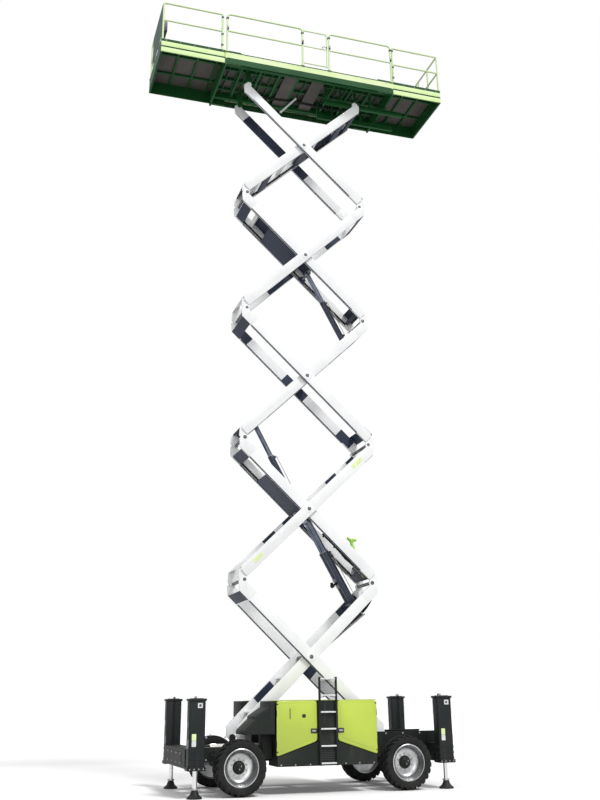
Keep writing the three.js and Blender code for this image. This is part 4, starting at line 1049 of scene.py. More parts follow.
def latchPin(x, y, z, out):
    # spring latch that locks a folding rail: body and pull ring
    body = lathe([(0.0, 0.0), (0.016, 0.0), (0.018, 0.004), (0.018, 0.030), (0.010, 0.034),
                  (0.010, 0.052), (0.0, 0.054)],
                 "z", (x, y, z), 14)
    angle = np.linspace(0, 2 * np.pi, 16, endpoint=False)
    ring = pipe(np.stack([x + 0.020 * np.cos(angle), np.full(16, y + out * 0.004),
                          z + 0.072 + 0.020 * np.sin(angle)], -1),
                0.003, 6, (0, 1, 0), closed=True)
    return body + ring


def mainRails():
    y = farHigh[1] - railSet["radius"]
    inset = 0.032
    left, right = deckLeft + inset, deckRight - inset
    bottom = fasciaTop + 0.0003
    gateLow, gateHigh = corners("gate")
    nearLeftEnd = corners("rails_near_left")[1][0] - 0.024
    nearRightStart = corners("rails_near_right")[0][0] + 0.020
    farShape = loopRail(left, right, y, bottom, np.linspace(left, right, 5)[1:-1], railSet["bend"])
    piece("railsFar", "platform", [(farShape, railPaint)], ["rails_far"])
    for name, start, end in (("rails_near_left", left, nearLeftEnd),
                             ("rails_near_right", nearRightStart, right)):
        shape = loopRail(start, end, -y, bottom, [], railSet["nearBend"])
        extra = []
        if name.endswith("left"):
            for z in (bottom + 0.04, railTop - 0.03):  # lugs that carry the gate
                extra.append(block((end, -y - 0.012, z),
                                   (gateLow[0] + 0.030, -y + 0.012, z + 0.0195), 0.003, 1))
        shapes = [(gathered([shape] + extra), railPaint)]
        latches = [latchPin(x, -y - 0.030, railMid + 0.02, -1) for x in (start + 0.010, end - 0.010)]
        clamps = [block((x - 0.028, -y - 0.026, railTop - 0.13),
                        (x + 0.028, -y + 0.026, railTop - 0.09), 0.006, 2)
                  for x in (start, end)]
        shapes.append((gathered(latches + clamps), blackPlastic))
        piece(name.replace("_", " ").title().replace(" ", "").replace("Rails", "rails"),
              "platform", shapes, [name])
    pinX, farX = gateLow[0] + 0.014, gateHigh[0] - 0.016
    low, high = gateLow[2] + 0.002, gateHigh[2] - 0.002
    frameTube = pipe(bentPath([(pinX, -y, low), (pinX, -y, high - 0.01), (farX, -y, high - 0.01),
                               (farX, -y, low)], 0.05, 6),
                     0.0155, 12)
    bars = gathered([pipe([(pinX, -y, z), (farX, -y, z)], 0.013, 10, (0, 1, 0))
                     for z in (railMid, low + 0.02)])
    spring = lathe([(0.0, 0.0), (0.012, 0.0), (0.012, 0.09), (0.0, 0.09)], "z",
                   (pinX, -y - 0.026, railMid + 0.03), 12)
    handle = pipe(bentPath([(farX - 0.01, -y - 0.012, railMid + 0.02),
                            (farX - 0.02, -y - 0.06, railMid + 0.03),
                            (farX - 0.10, -y - 0.06, railMid + 0.03),
                            (farX - 0.11, -y - 0.012, railMid + 0.02)], 0.02),
                  0.007, 8, (0, 0, 1))
    piece("gateFrame", "gate", [(frameTube + bars, railPaint), (spring + handle, blackPlastic)], ["gate"])


mainRails()


def extensionRails(name, end):
    # three-sided frame that stands on an extension deck, with posts, base plates, latches, clamps and grab
    # handles
    low, high = corners(f"rails_extension_{name}")
    r = railSet["radius"]
    outer = low[0] + r if end < 0 else high[0] - r
    inner = high[0] - r if end < 0 else low[0] + r
    y, bottom = high[1] - r, stepFloor + 0.0003
    parts = []
    for z in (railTop, railMid):
        path = [(inner, -y, z), (outer, -y, z), (outer, y, z), (inner, y, z)]
        parts.append(pipe(bentPath(path, 0.07, 6), r * (1.0 if z == railTop else 0.9), 14, (0, 0, 1)))
    for side in (-1, 1):
        for x in (outer, inner):
            parts.append(pipe([(x, side * y, bottom), (x, side * y, railTop)], r, 12, (0, 1, 0)))
            parts.append(block((x - 0.038, side * y - 0.024, bottom),
                               (x + 0.038, side * y + 0.024, bottom + 0.008), 0.002, 1))
        parts.append(pipe([(outer, side * y / 3, bottom), (outer, side * y / 3, railTop)],
                          r * 0.95, 12, (0, 1, 0)))
    latches = [latchPin(inner, side * (y - 0.026), z, -side) for side in (-1, 1)
               for z in (railMid + 0.03, railTop - 0.16)]
    clamps = [block((inner - 0.024, side * y - 0.021, z),
                    (inner + 0.024, side * y + 0.021, z + 0.05), 0.006, 2)
              for side in (-1, 1) for z in (railMid - 0.10, railTop - 0.10, bottom + 0.10)]
    handles = []
    for side in (-1, 1):
        path = [(inner, side * (y - 0.01), railTop - 0.30), (inner, side * (y - 0.045), railTop - 0.30),
                (inner, side * (y - 0.045), railTop - 0.46), (inner, side * (y - 0.01), railTop - 0.46)]
        handles.append(pipe(bentPath(path, 0.02), 0.008, 8, (1, 0, 0)))
    shapes = []
    if end < 0:  # screen across the end, with folded edges, in the painted shade teal
        screen = block((outer - r - 0.005, -0.735, stepFloor + 0.10),
                       (outer - r + 0.001, 0.40, railTop - 0.03), 0.002, 1)
        folds = blocks([((outer - r - 0.008, y - 0.010, stepFloor + 0.10),
                         (outer - r, y + 0.010, railTop - 0.03))
                        for y in (-0.725, -0.16, 0.39)], 0.002)
        shapes.append((screen + folds, tealPanel))
    piece(f"railsExtension{name.title()}", f"extension_{name}",
          shapes + [(gathered(parts), railPaint), (gathered(latches + clamps + handles), blackPlastic)],
          [f"rails_extension_{name}"])


extensionRails("left", -1)
extensionRails("right", 1)
print("rails made")


def deckPanels():
    # sheets of anti-slip plate let into the bays between the ribs, seen from below and from above
    half, ribs = 0.735, 10
    centres = deckLeft + 0.025 + np.arange(ribs) * (deckRight - deckLeft - 0.050) / (ribs - 1)
    sheets = []
    for start, stop in zip(centres[:-1] + 0.027, centres[1:] - 0.027):
        for low, high in ((-half + 0.01, -0.645), (-0.555, -0.02), (0.02, 0.555), (0.645, half - 0.01)):
            sheets.append(block((start, low, floorUnder - 0.006),
                                (stop, high, floorUnder - 0.0005), 0.002, 1))
    sheets.append(block((deckLeft + 0.004, -half + 0.004, fasciaTop - 0.0395),
                        (deckRight - 0.004, half - 0.004, fasciaTop - 0.037), 0.001, 1))
    piece("deckSheets", "platform", [(gathered(sheets), deckSheet)])
    for name, low, high in (("left", leftLow, leftHigh), ("right", rightLow, rightHigh)):
        sheets = []
        xs = low[0] + 0.020 + np.arange(5) * (high[0] - low[0] - 0.040) / 4
        for start, stop in zip(xs[:-1] + 0.022, xs[1:] - 0.022):
            for a, b in ((-0.738, -0.342), (-0.298, 0.298), (0.342, 0.738)):
                sheets.append(block((start, a, high[2] - 0.026), (stop, b, high[2] - 0.0205), 0.002, 1))
        sheets.append(block((low[0] + 0.004, -0.752, high[2] + 0.0004),
                            (high[0] - 0.004, 0.752, high[2] + 0.003), 0.001, 1))
        piece(f"extensionSheets{name.title()}", f"extension_{name}", [(gathered(sheets), deckSheet)])


deckPanels()


def underFrame():
    # light ribs, wide cover strips and a cable run under the main floor
    ribs, strips, dark = [], [], []
    for x in np.linspace(deckLeft + 0.20, deckRight - 0.20, 19):
        ribs.append(block((x - 0.012, -0.555, floorUnder - 0.060),
                          (x + 0.012, 0.555, floorUnder - 0.001), 0.002, 1))
    for y in (-0.36, 0.0, 0.36):
        ribs.append(block((deckLeft + 0.06, y - 0.016, floorUnder - 0.075),
                          (deckRight - 0.06, y + 0.016, floorUnder - 0.001),
                          0.003, 1))
    for x in (-0.28, 0.34):
        strips.append(block((x - 0.14, -0.74, floorUnder - 0.098),
                            (x + 0.14, 0.74, floorUnder - 0.092), 0.003, 1))
    for side in (-1, 1):
        for x in np.linspace(deckLeft + 0.15, deckRight - 0.15, 8):
            dark.append(boltHeads([(x, side * 0.780, fasciaTop - 0.03)], "y", side, 0.010, 0.007))
        # side frame under the fascia, with a folded foot
        ribs.append(block((deckLeft + 0.002, side * 0.7665, leftLow[2] - 0.004),
                          (deckRight - 0.002, side * 0.7795, fasciaLow + 0.002),
                          0.003, 1))
        ribs.append(block((deckLeft + 0.042, side * 0.775, leftLow[2] - 0.006),
                          (deckRight - 0.042, side * 0.784, leftLow[2] + 0.016),
                          0.004, 1))
        ribs.append(block((deckLeft + 0.004, side * 0.779, fasciaTop - 0.020),
                          (deckRight - 0.004, side * 0.783, fasciaTop + 0.001),
                          0.0015, 1))
    cable = bentPath([(-1.10, 0.30, floorUnder - 0.085), (-0.60, 0.33, floorUnder - 0.105),
                      (0.10, 0.26, floorUnder - 0.108),
                      (0.80, 0.33, floorUnder - 0.100), (1.50, 0.28, floorUnder - 0.085)], 0.25, 6)
    cables = gathered([pipe(cable + np.array([0, d, 0]), 0.010, 8) for d in (0, 0.024, 0.048)])
    piece("underFrame", "platform", [(gathered(ribs), frameGreen), (gathered(strips), deckSheet),
                                     (gathered(dark), boltSteel), (cables, hoseRubber)])


underFrame()


def extensionTrim(name, low, high, end):
    # the side plate's two folded swells, with dark green strips of painted shade between and above them,
    # where the slide's channel and the top lip lie in shade
    beads, dark, green = [], [], []
    for side in (-1, 1):
        y = side * 0.7575
        for z0, z1 in ((low[2] + 0.012, low[2] + 0.118), (low[2] + 0.160, low[2] + 0.262)):
            fold = [(y, z0), (y + side * 0.002, z0 + 0.014), (y + side * 0.002, z1 - 0.014), (y, z1),
                    (y - side * 0.004, z1),
                    (y - side * 0.004, z0)]
            beads.append(slab(fold, "x", low[0] + 0.002, high[0] - 0.002, 0.001, 1))
        # painted shade: dark green strips in the channel between the swells, along the top lip and along the
        # bottom edge
        for z0, z1 in ((low[2] + 0.120, low[2] + 0.158), (high[2] - 0.066, high[2] - 0.001),
                       (low[2], low[2] + 0.011)):
            green.append(block((low[0] + 0.001, y - side * 0.003, z0),
                               (high[0] - 0.001, y + side * 0.0008, z1), 0.0005, 1))
        for x in np.linspace(low[0] + 0.10, high[0] - 0.10, 6):
            dark.append(boltHeads([(x, y - side * 0.001, high[2] - 0.034)], "y", side, 0.008, 0.003))
    outer = low[0] if end < 0 else high[0]
    for z in (high[2] - 0.012, low[2] + 0.012):
        green.append(pipe([(outer - end * 0.002, -0.742, z), (outer - end * 0.002, 0.742, z)],
                          0.010, 8, (0, 0, 1)))
    shapes = [(gathered(beads), deckGreen), (gathered(dark), boltSteel), (gathered(green), frameGreen)]
    if end < 0:  # end plate, in the painted shade teal
        shapes.append((block((outer - 0.0035, -0.745, low[2] + 0.012),
                             (outer + 0.001, 0.745, high[2] - 0.012), 0.001, 1),
                       tealPanel))
    piece(f"extensionTrim{name.title()}", f"extension_{name}", shapes)


extensionTrim("left", leftLow, leftHigh, -1)
extensionTrim("right", rightLow, rightHigh, 1)


def controlBox():
    low, high = corners("control_box")
    centre = (low + high) / 2
    shell = block(low, high, 0.012, 3)
    face = block((high[0] - 0.002, low[1] + 0.02, low[2] + 0.02),
                 (high[0] + 0.003, high[1] - 0.02, high[2] - 0.02), 0.002, 1)
    stick = lathe([(0.0, 0.10), (0.010, 0.098), (0.014, 0.085), (0.010, 0.060), (0.006, 0.055),
                   (0.006, 0.02), (0.022, 0.012),
                   (0.026, 0.0)], "z", (centre[0] - 0.02, centre[1] - 0.06, high[2]), 16)
    stop = lathe([(0.0, 0.026), (0.016, 0.024), (0.020, 0.016), (0.020, 0.010), (0.012, 0.008), (0.012, 0.0)],
                 "x",
                 (high[0] + 0.003, centre[1] + 0.09, centre[2] + 0.06), 18)
    knobs = gathered([lathe([(0.0, 0.014), (0.008, 0.012), (0.010, 0.0)], "x",
                            (high[0] + 0.003, centre[1] + y, centre[2] + z), 12)
                      for y in (-0.09, -0.04, 0.01) for z in (-0.05, 0.03)])
    # the back faces the platform's left end and takes the painted shade teal
    back = block((low[0] - 0.004, low[1] + 0.05, low[2] + 0.03),
                 (low[0] + 0.002, high[1] - 0.05, high[2] - 0.03), 0.002, 1)
    piece("controlBox", "extension_left", [(shell, blackPlastic), (face, greyPlastic), (stick, blackPlastic),
                                           (stop, redLens), (knobs, blankPlate), (back, tealPanel)],
          ["control_box"])


controlBox()
print("platform made")

# outriggers: a box on the chassis with a leg that slides in it

# plates on a box's walls: (axis the wall looks along, from, to, low, high, finish, how far it stands proud)
legSet = {"rod": 0.036, "foot": 0.118, "wall": 0.030, "skirt": 0.055, "flanges": (0.47, 0.55, 0.64),
          "plates": [("y", 0.000, 0.080, 1.310, 1.385, blankPlate, 0.0),
                     ("y", 0.022, 0.058, 1.330, 1.365, blackPlastic, 0.0006),
                     ("y", -0.085, -0.015, 0.835, 0.930, limeLabel, 0.0),
                     ("y", -0.085, -0.015, 0.745, 0.833, blankPlate, 0.0),
                     ("x", -0.035, 0.035, 1.020, 1.110, greyPlastic, 0.0),
                     ("x", -0.085, 0.085, 0.720, 0.850, greyPlastic, 0.0)]}


def flatLabel(low, high, finish, axis, outward):
    # a thin printed plate with rounded corners, lying on a wall that looks along an axis
    low, high = np.array(low, float), np.array(high, float)
    return slab(softOutline([(low[0], low[1]), (high[0], low[1]), (high[0], high[1]), (low[0], high[1])],
                            0.008), axis,
                outward[0], outward[1], 0.0008, 1), finish


def outrigger(endName, sideName):
    box, leg = f"outrigger_box_{endName}_{sideName}", f"outrigger_leg_{endName}_{sideName}"
    low, high = corners(box)
    side, end = np.sign(low[1] + high[1]), np.sign(low[0] + high[0])
    inset = np.array([0.014, 0.012, 0])
    walls = block(low + inset + (0, 0, 0.012), high - inset - (0, 0, 0.012), 0.024, 3)
    cap = block((low[0], low[1], high[2] - 0.036), high, 0.009, 2)
    lid = block((low[0] + 0.05, low[1] + 0.04, high[2] - 0.002),
                (high[0] - 0.05, high[1] - 0.04, high[2] + 0.007), 0.005, 1)
    dark = [walls, cap, lid]
    wall, deep = legSet["wall"], legSet["skirt"]
    for a, b in (((low[0], low[1]), (high[0], low[1] + wall)), ((low[0], high[1] - wall), (high[0], high[1])),
                 ((low[0], low[1]), (low[0] + wall, high[1])),
                 ((high[0] - wall, low[1]), (high[0], high[1]))):
        dark.append(block((*a, low[2] + 0.001), (*b, low[2] + deep), 0.006, 1))
    faceY, faceX = (low[1] if side < 0 else high[1]), (high[0] if end > 0 else low[0])
    wallY, wallX = faceY - side * 0.012, faceX - end * 0.014
    for z in legSet["flanges"]:  # flange plates of the beam's end
        dark.append(block((low[0] + 0.008, low[1] + 0.006, z),
                          (high[0] - 0.008, high[1] - 0.006, z + 0.014), 0.004, 1))
    bolts = []
    for x in np.linspace(low[0] + 0.035, high[0] - 0.035, 4):
        bolts.append(boltHeads([(x, faceY, low[2] + 0.028)], "y", side, 0.007, 0.005))
    centre = (low + high) / 2
    spanY, spanX = sorted((wallY - side * 0.001, wallY + side * 0.002)), sorted((wallX - end * 0.001,
                                                                                 wallX + end * 0.002))
    labels = []
    for axis, start, stop, bottom, top, finish, proud in legSet["plates"]:
        middle, span, way = (centre[0], spanY, side) if axis == "y" else (centre[1], spanX, end)
        labels.append(flatLabel((middle + start, bottom), (middle + stop, top), finish, axis,
                                (span[0] + way * proud, span[1] + way * proud)))
    port = lathe([(0.0, 0.034), (0.014, 0.034), (0.018, 0.028), (0.018, 0.0)], "z",
                 (centre[0], centre[1] - side * 0.05, high[2]), 8)
    inward = low[1] if side > 0 else high[1]
    hose = pipe(bentPath([(centre[0], centre[1] - side * 0.05, high[2] + 0.026),
                          (centre[0], inward - side * 0.030, high[2] + 0.028),
                          (centre[0], inward - side * 0.030, high[2] - 0.20),
                          (centre[0], inward - side * 0.026, 0.72)], 0.04), 0.010, 8, (1, 0, 0))
    piece(f"outriggerBox{endName.title()}{sideName.title()}", "chassis",
          [(gathered(dark), outriggerPaint), (gathered(bolts), boltSteel), (port, boltSteel),
           (hose, hoseRubber), *labels], [box])
    base = mid(leg) * (1, 1, 0)
    rodShape = lathe([(0.0, 1.048), (0.031, 1.048), (legSet["rod"], 1.043), (legSet["rod"], 0.135),
                      (0.0, 0.134)], "z", base, 32)
    foot = lathe([(0.0, 0.128), (0.040, 0.126), (0.052, 0.112), (0.060, 0.085),
                  (0.072, 0.060), (0.100, 0.034),
                  (legSet["foot"], 0.024), (legSet["foot"] + 0.0015, 0.020), (legSet["foot"] + 0.0015, 0.004),
                  (legSet["foot"] - 0.004, 0.0003), (0.0, 0.0003)], "z", base, 36)
    rib = block((-0.100, -0.006, 0.018), (0.100, 0.006, 0.042), 0.003, 1)
    angles = np.arange(3) * np.pi / 3
    turns = np.zeros((3, 3, 3))
    turns[:, 0, 0] = turns[:, 1, 1] = np.cos(angles)
    turns[:, 0, 1], turns[:, 1, 0] = -np.sin(angles), np.sin(angles)
    turns[:, 2, 2] = 1
    ribs = rib.copied([base] * 3, turns)
    wiper = lathe([(0.0, 0.150), (0.056, 0.149), (0.058, 0.140), (0.058, 0.126), (0.0, 0.124)], "z", base, 24)
    piece(f"outriggerLeg{endName.title()}{sideName.title()}", leg,
          [(rodShape, rodChrome), (foot + ribs, outriggerPaint), (wiper, boltSteel)], [leg])


for endName in ("rear", "front"):
    for sideName in ("near", "far"):
        outrigger(endName, sideName)
print("outriggers made")


# side pods: doors, trim and end covers

podSet = {"middleLow": 0.785, "endLow": 0.563, "coverStart": -0.839, "face": 1.090, "swage": 0.050,
          "nearSteps": [(0.110, 0.0), (0.110, 0.090), (0.330, 0.230), (0.330, 0.270), (0.520, 0.440)],
          "farSteps": [(0.155, 0.0), (0.155, 0.250), (0.080, 0.490)]}


def podDoor(endName, sideName):
    node = f"pod_door_{endName}_{sideName}"
    low, high = corners(node)
    side = np.sign(low[1] + high[1])
    end = -1 if endName == "rear" else 1
    edge = -0.816 + 0.003 if end < 0 else 0.931 - 0.003  # hinge side
    inner = high[0] - 0.002 if end < 0 else low[0] + 0.002
    top = high[2]
    face, back = side * podSet["face"], side * 1.060
    outline = [(edge, podSet["endLow"]), (inner, podSet["middleLow"]), (inner, top), (edge, top)]
    panel = slab(softOutline(outline, 0.045, 5), "y", back, face, 0.010, 3)
    by = podSet["swage"]  # the raised field stands this far inside the door's outline
    field = [(edge - end * by, podSet["endLow"] + by * 1.25),
             (inner + end * by, podSet["middleLow"] + by * 0.9),
             (inner + end * by, top - by), (edge - end * by, top - by)]
    swage = slab(softOutline(field, 0.05, 5), "y", face - side * 0.002, face + side * 0.004, 0.004, 2)
    lime = [panel, swage]
    black = []
    if endName == "rear":
        slotX, lockX = -0.587, -0.350
        slot = [(slotX - 0.007, 1.120), (slotX + 0.007, 1.120), (slotX + 0.007, 1.285),
                (slotX - 0.007, 1.285)]
        black.append(slab(softOutline(slot, 0.006), "y", face + side * 0.0035, face + side * 0.006, 0.001, 1))
        lock = [(lockX - 0.032, 1.140), (lockX + 0.032, 1.140), (lockX + 0.032, 1.195),
                (lockX - 0.032, 1.195)]
        black.append(slab(softOutline(lock, 0.016), "y", face + side * 0.0035, face + side * 0.008, 0.002, 2))
        black.append(lathe([(0.0, side * 0.013), (0.010, side * 0.013), (0.014, side * 0.010),
                            (0.015, side * 0.006)],
                           "y", (lockX, face, 1.168), 18))
    lockX = inner + end * 0.055
    latch = [(lockX - 0.060, 0.900), (lockX + 0.050, 0.900), (lockX + 0.050, 0.975), (lockX - 0.060, 0.975)]
    black.append(slab(softOutline(latch, 0.014), "y", face + side * 0.003, face + side * 0.009, 0.003, 2))
    bright = block((lockX - 0.040, face, 0.925), (lockX + 0.032, face + side * 0.014, 0.950), 0.003, 1)
    pins = []
    axis = joints[f"door_{endName}_{sideName}"]["pos_m"]
    for z in (0.700, 1.160):
        pins.append(lathe([(0.0, 0.0), (0.0105, 0.0), (0.0115, 0.002), (0.0115, 0.098), (0.0105, 0.1),
                           (0.0, 0.1)], "z",
                          (axis[0], axis[1], z), 16))
        lime.append(block((axis[0], axis[1] - 0.0045, z),
                          (edge - end * 0.030, axis[1] + 0.0045, z + 0.1), 0.002, 1))
    piece(f"podDoor{endName.title()}{sideName.title()}", node,
          [(gathered(lime), limePaint), (gathered(black), blackPlastic), (gathered(pins), charcoalPaint),
           (bright, boltSteel)], [node])


for endName in ("rear", "front"):
    for sideName in ("near", "far"):
        podDoor(endName, sideName)


def podTrim(sideName):
    # lid, middle panel, sill plates, grilles, bolts, vents and a lamp on a fixed pod
    low, high = corners(f"pod_{sideName}")
    side = np.sign(low[1] + high[1])
    face = side * podSet["face"]

    def onFace(x0, z0, x1, z1, depth):
        return slab(softOutline([(x0, z0), (x1, z0), (x1, z1), (x0, z1)], 0.012), "y",
                    face - side * 0.002, face + side * depth, 0.003, 2)

    lime = [block((low[0] + 0.004, low[1] + 0.004, high[2] - 0.004),
                  (high[0] - 0.004, high[1] - 0.004, high[2] + 0.007), 0.005, 2)]
    dark = [onFace(-0.108, 0.86, 0.223, 1.385, 0.004)]
    slots = [onFace(-0.075, z, 0.190, z + 0.010, 0.007) for z in np.arange(0.50, 0.78, 0.026)]
    for x0, x1 in ((-0.78, -0.20), (0.32, 0.89)):
        dark.append(block((x0, face - side * 0.002, low[2] + 0.008),
                          (x1, face + side * 0.006, low[2] + 0.040), 0.003, 1))
    bolts = [boltHeads([(x, face + side * 0.005, z)], "y", side, 0.008, 0.006)
             for x in (-0.088, 0.203) for z in (0.89, 1.12, 1.36)]
    bolts += [boltHeads([(x, face + side * 0.005, low[2] + 0.024)], "y", side, 0.008, 0.006)
              for x in (-0.74, -0.50, -0.25, 0.36, 0.60, 0.85)]
    vents = [block((high[0] - 0.002, low[1] + (0.06 if side > 0 else 0.08), z),
                   (high[0] + 0.007, high[1] - 0.08, z + 0.012), 0.004, 1)
             for z in np.arange(0.62, 1.30, 0.034)]
    lamp = lathe([(0.0, 0.009), (0.020, 0.009), (0.028, 0.005), (0.030, -0.002)], "x",
                 (high[0], side * 1.03, 1.33), 18)
    if side < 0:  # closing box between the end cover and the axle
        dark.append(block((-0.975, -0.83, 0.52), (podSet["coverStart"] + 0.02, -0.57, 0.915), 0.012, 2))
    piece(f"podTrim{sideName.title()}", "chassis",
          [(gathered(lime), limePaint), (gathered(dark + vents), charcoalPaint),
           (gathered(slots), blackPlastic),
           (gathered(bolts), boltSteel), (lamp, amberLens)])
    low, high = corners(f"end_cover_{sideName}")
    start, steps = podSet["coverStart"], podSet[f"{sideName}Steps"]
    outline = [(start, low[2]), (start, high[2])] + [(start - back, high[2] - down) for back, down in steps]
    outline.append((start - steps[-1][0], low[2]))
    cover = slab(softOutline(outline, 0.018, 3), "y", low[1], high[1], 0.010, 2)
    inner = 0.562 * side
    rail = block((start - 0.01, inner, low[2] + 0.05),
                 (high[0], inner + side * 0.058, high[2] - 0.05), 0.004, 1)
    fins = [block((start - 0.10, face - side * 0.002, z),
                  (start - 0.02, face + side * 0.005, z + 0.012), 0.003, 1)
            for z in np.arange(1.02, 1.34, 0.034)]
    piece(f"endCover{sideName.title()}", "chassis", [(cover + rail + gathered(fins), charcoalPaint)],
          [f"end_cover_{sideName}"])


podTrim("near")
podTrim("far")
print("pods made")


# ladder

ladderSet = {"rail": 0.034, "rungs": 6, "studs": 7, "brackets": (0.06, 1.30), "meshLow": 1.44,
             "meshHigh": 1.75,
             "strands": (1.455, 1.735, 10), "slant": 0.06}


def ladderPiece():
    low, high = corners("ladder")
    rail = ladderSet["rail"]
    sides = [block((x, low[1], low[2]), (x + rail, low[1] + rail, high[2]), 0.007, 2)
             for x in (low[0], high[0] - rail)]
    for x in (low[0], high[0] - rail):
        for z in (low[2] + ladderSet["brackets"][0], ladderSet["brackets"][1]):
            sides.append(block((x, low[1] + rail - 0.002, z), (x + rail, high[1], z + 0.04), 0.004, 1))
    heights = np.linspace(low[2] + 0.035, high[2] - 0.03, ladderSet["rungs"])
    left, right = low[0] + rail - 0.004, high[0] - rail + 0.004
    rungs = []
    for z in heights:
        tread = block((left, low[1] + 0.002, z - 0.012), (right, low[1] + rail - 0.002, z + 0.012), 0.006, 2)
        studs = [block((x, low[1] + 0.006, z + 0.011),
                       (x + 0.010, low[1] + rail - 0.006, z + 0.015), 0.002, 1)
                 for x in np.linspace(left + 0.03, right - 0.04, ladderSet["studs"])]
        rungs += [tread] + studs
    mesh = []
    for height in np.linspace(*ladderSet["strands"]):  # slanting strands both ways behind the upper rungs
        for way in (-1, 1):
            ends = np.clip([height - way * ladderSet["slant"], height + way * ladderSet["slant"]],
                           ladderSet["meshLow"], ladderSet["meshHigh"])
            mesh.append(pipe([(low[0] + rail, low[1] + rail / 2, ends[0]),
                              (high[0] - rail, low[1] + rail / 2, ends[1])],
                             0.0035, 4, (0, 1, 0)))
    caps = [block((x - 0.002, low[1] - 0.002, z),
                  (x + rail + 0.002, low[1] + rail + 0.002, z + 0.012), 0.004, 1)
            for x in (low[0], high[0] - rail) for z in (low[2], high[2] - 0.012)]
    piece("ladderFrame", "chassis", [(gathered(sides), charcoalPaint), (gathered(rungs), blankPlate),
                                     (gathered(mesh + caps), blackPlastic)], ["ladder"])


ladderPiece()
print("ladder made")


# chassis gear

gearSet = {"rearAxleX": -1.40, "frontAxleX": 1.46, "axleZ": 0.420, "frameFace": 0.5595,
           "tieDowns": (-1.75, 2.15),
           "boltRows": (0.52, 0.855), "housingY": 0.10, "steeringX": 0.115}


def chassisDetails():
    # bolts along the frame, tie-down rings, axle housings, steering cylinder, hoses and pipes
    steel, dark, hose = [], [], []
    for side in (-1, 1):
        y = side * gearSet["frameFace"]
        places = [(x, y, z) for x in np.linspace(-1.85, 2.25, 14) for z in gearSet["boltRows"]
                  if not -0.9 < x < 1.0]
        steel.append(boltHeads(places, "y", side, 0.011, 0.008))
        for x in gearSet["tieDowns"]:
            ring = np.linspace(0, 2 * np.pi, 20, endpoint=False)
            dark.append(pipe(np.stack([x + 0.038 * np.cos(ring), np.full(20, y + side * 0.012),
                                       0.62 + 0.038 * np.sin(ring)], -1),
                             0.009, 8, (0, 1, 0), closed=True))
    for end in ("rear", "front"):
        low, high = corners(f"end_beam_{end}")
        way = -1 if end == "rear" else 1
        face = low[0] if way < 0 else high[0]
        centreZ = (low[2] + high[2]) / 2
        dark.append(slab(softOutline([(-0.60, low[2] + 0.05), (0.60, low[2] + 0.05), (0.60, high[2] - 0.05),
                                      (-0.60, high[2] - 0.05)],
                                     0.03), "x", face - way * 0.002, face + way * 0.006, 0.003, 1))
        steel.append(boltHeads([(face + way * 0.006, y, centreZ + dz) for y in (-0.55, -0.2, 0.2, 0.55)
                                for dz in (-0.07, 0.07)],
                               "x", way, 0.011, 0.008))
    # differential housings and drive flanges
    front, z, y = gearSet["frontAxleX"], gearSet["axleZ"], gearSet["housingY"]
    for x in (gearSet["rearAxleX"], front):
        dark.append(lathe([(0.0, -0.13), (0.060, -0.125), (0.085, -0.09), (0.092, 0.0), (0.085, 0.09),
                           (0.060, 0.125), (0.0, 0.13)],
                          "y", (x, y, z), 24))
        dark.append(pipe([(x - np.sign(x) * 0.02, y, z), (x - np.sign(x) * 0.20, y, z + 0.01)],
                         [0.050, 0.036], 18))
    # steering cylinder across the front of the axle
    x = front + gearSet["steeringX"]
    dark.append(lathe([(0.0, -0.30), (0.036, -0.298), (0.036, 0.298), (0.0, 0.30)], "y", (x, 0, z), 20))
    steel.append(lathe([(0.0, -0.46), (0.018, -0.458), (0.018, 0.458), (0.0, 0.46)], "y", (x, 0, z), 16))
    for y in (-0.22, 0.22):
        dark.append(block((front + 0.06, y - 0.02, z - 0.05), (x + 0.02, y + 0.02, z + 0.05), 0.006, 1))
    for y in (-0.30, -0.27):
        hose.append(pipe(bentPath([(front + 0.10, y * 0.9, z + 0.03), (front + 0.06, y, z + 0.16),
                                   (1.10, y - 0.05, 0.60), (0.60, y - 0.08, 0.64)],
                                  0.10), 0.010, 8))
    # pipes that run along the frame's inner wall
    for k in range(4):
        y = -0.13 - 0.026 * k
        steel.append(pipe(bentPath([(-1.70, y, 0.730 - 0.01 * k), (-0.30, y, 0.730 - 0.01 * k),
                                    (0.10, y, 0.700), (1.90, y, 0.700)], 0.05),
                          0.008, 8))
    piece("chassisDetails", "chassis", [(gathered(dark), charcoalPaint), (gathered(steel), boltSteel),
                                        (gathered(hose), hoseRubber)])


chassisDetails()
print("chassis details made")

# small gear on the stack

def armLabel(x0, x1, z0, z1):
    # thin plate on the near outer arm's face, in the arm's own frame
    y = -armSet["outerY"]
    return slab(softOutline([(x0, z0), (x1, z0), (x1, z1), (x0, z1)], 0.010), "y", y + 0.001,
                y - 0.0022, 0.0006, 1)


labels = armLabel(1.20, 1.47, -0.040, 0.040) + armLabel(-1.43, -1.23, -0.038, 0.034)
piece("armLabels", "arms_2_outer", [(tilted(labels, 2, outerRise(2)), limeLabel)])

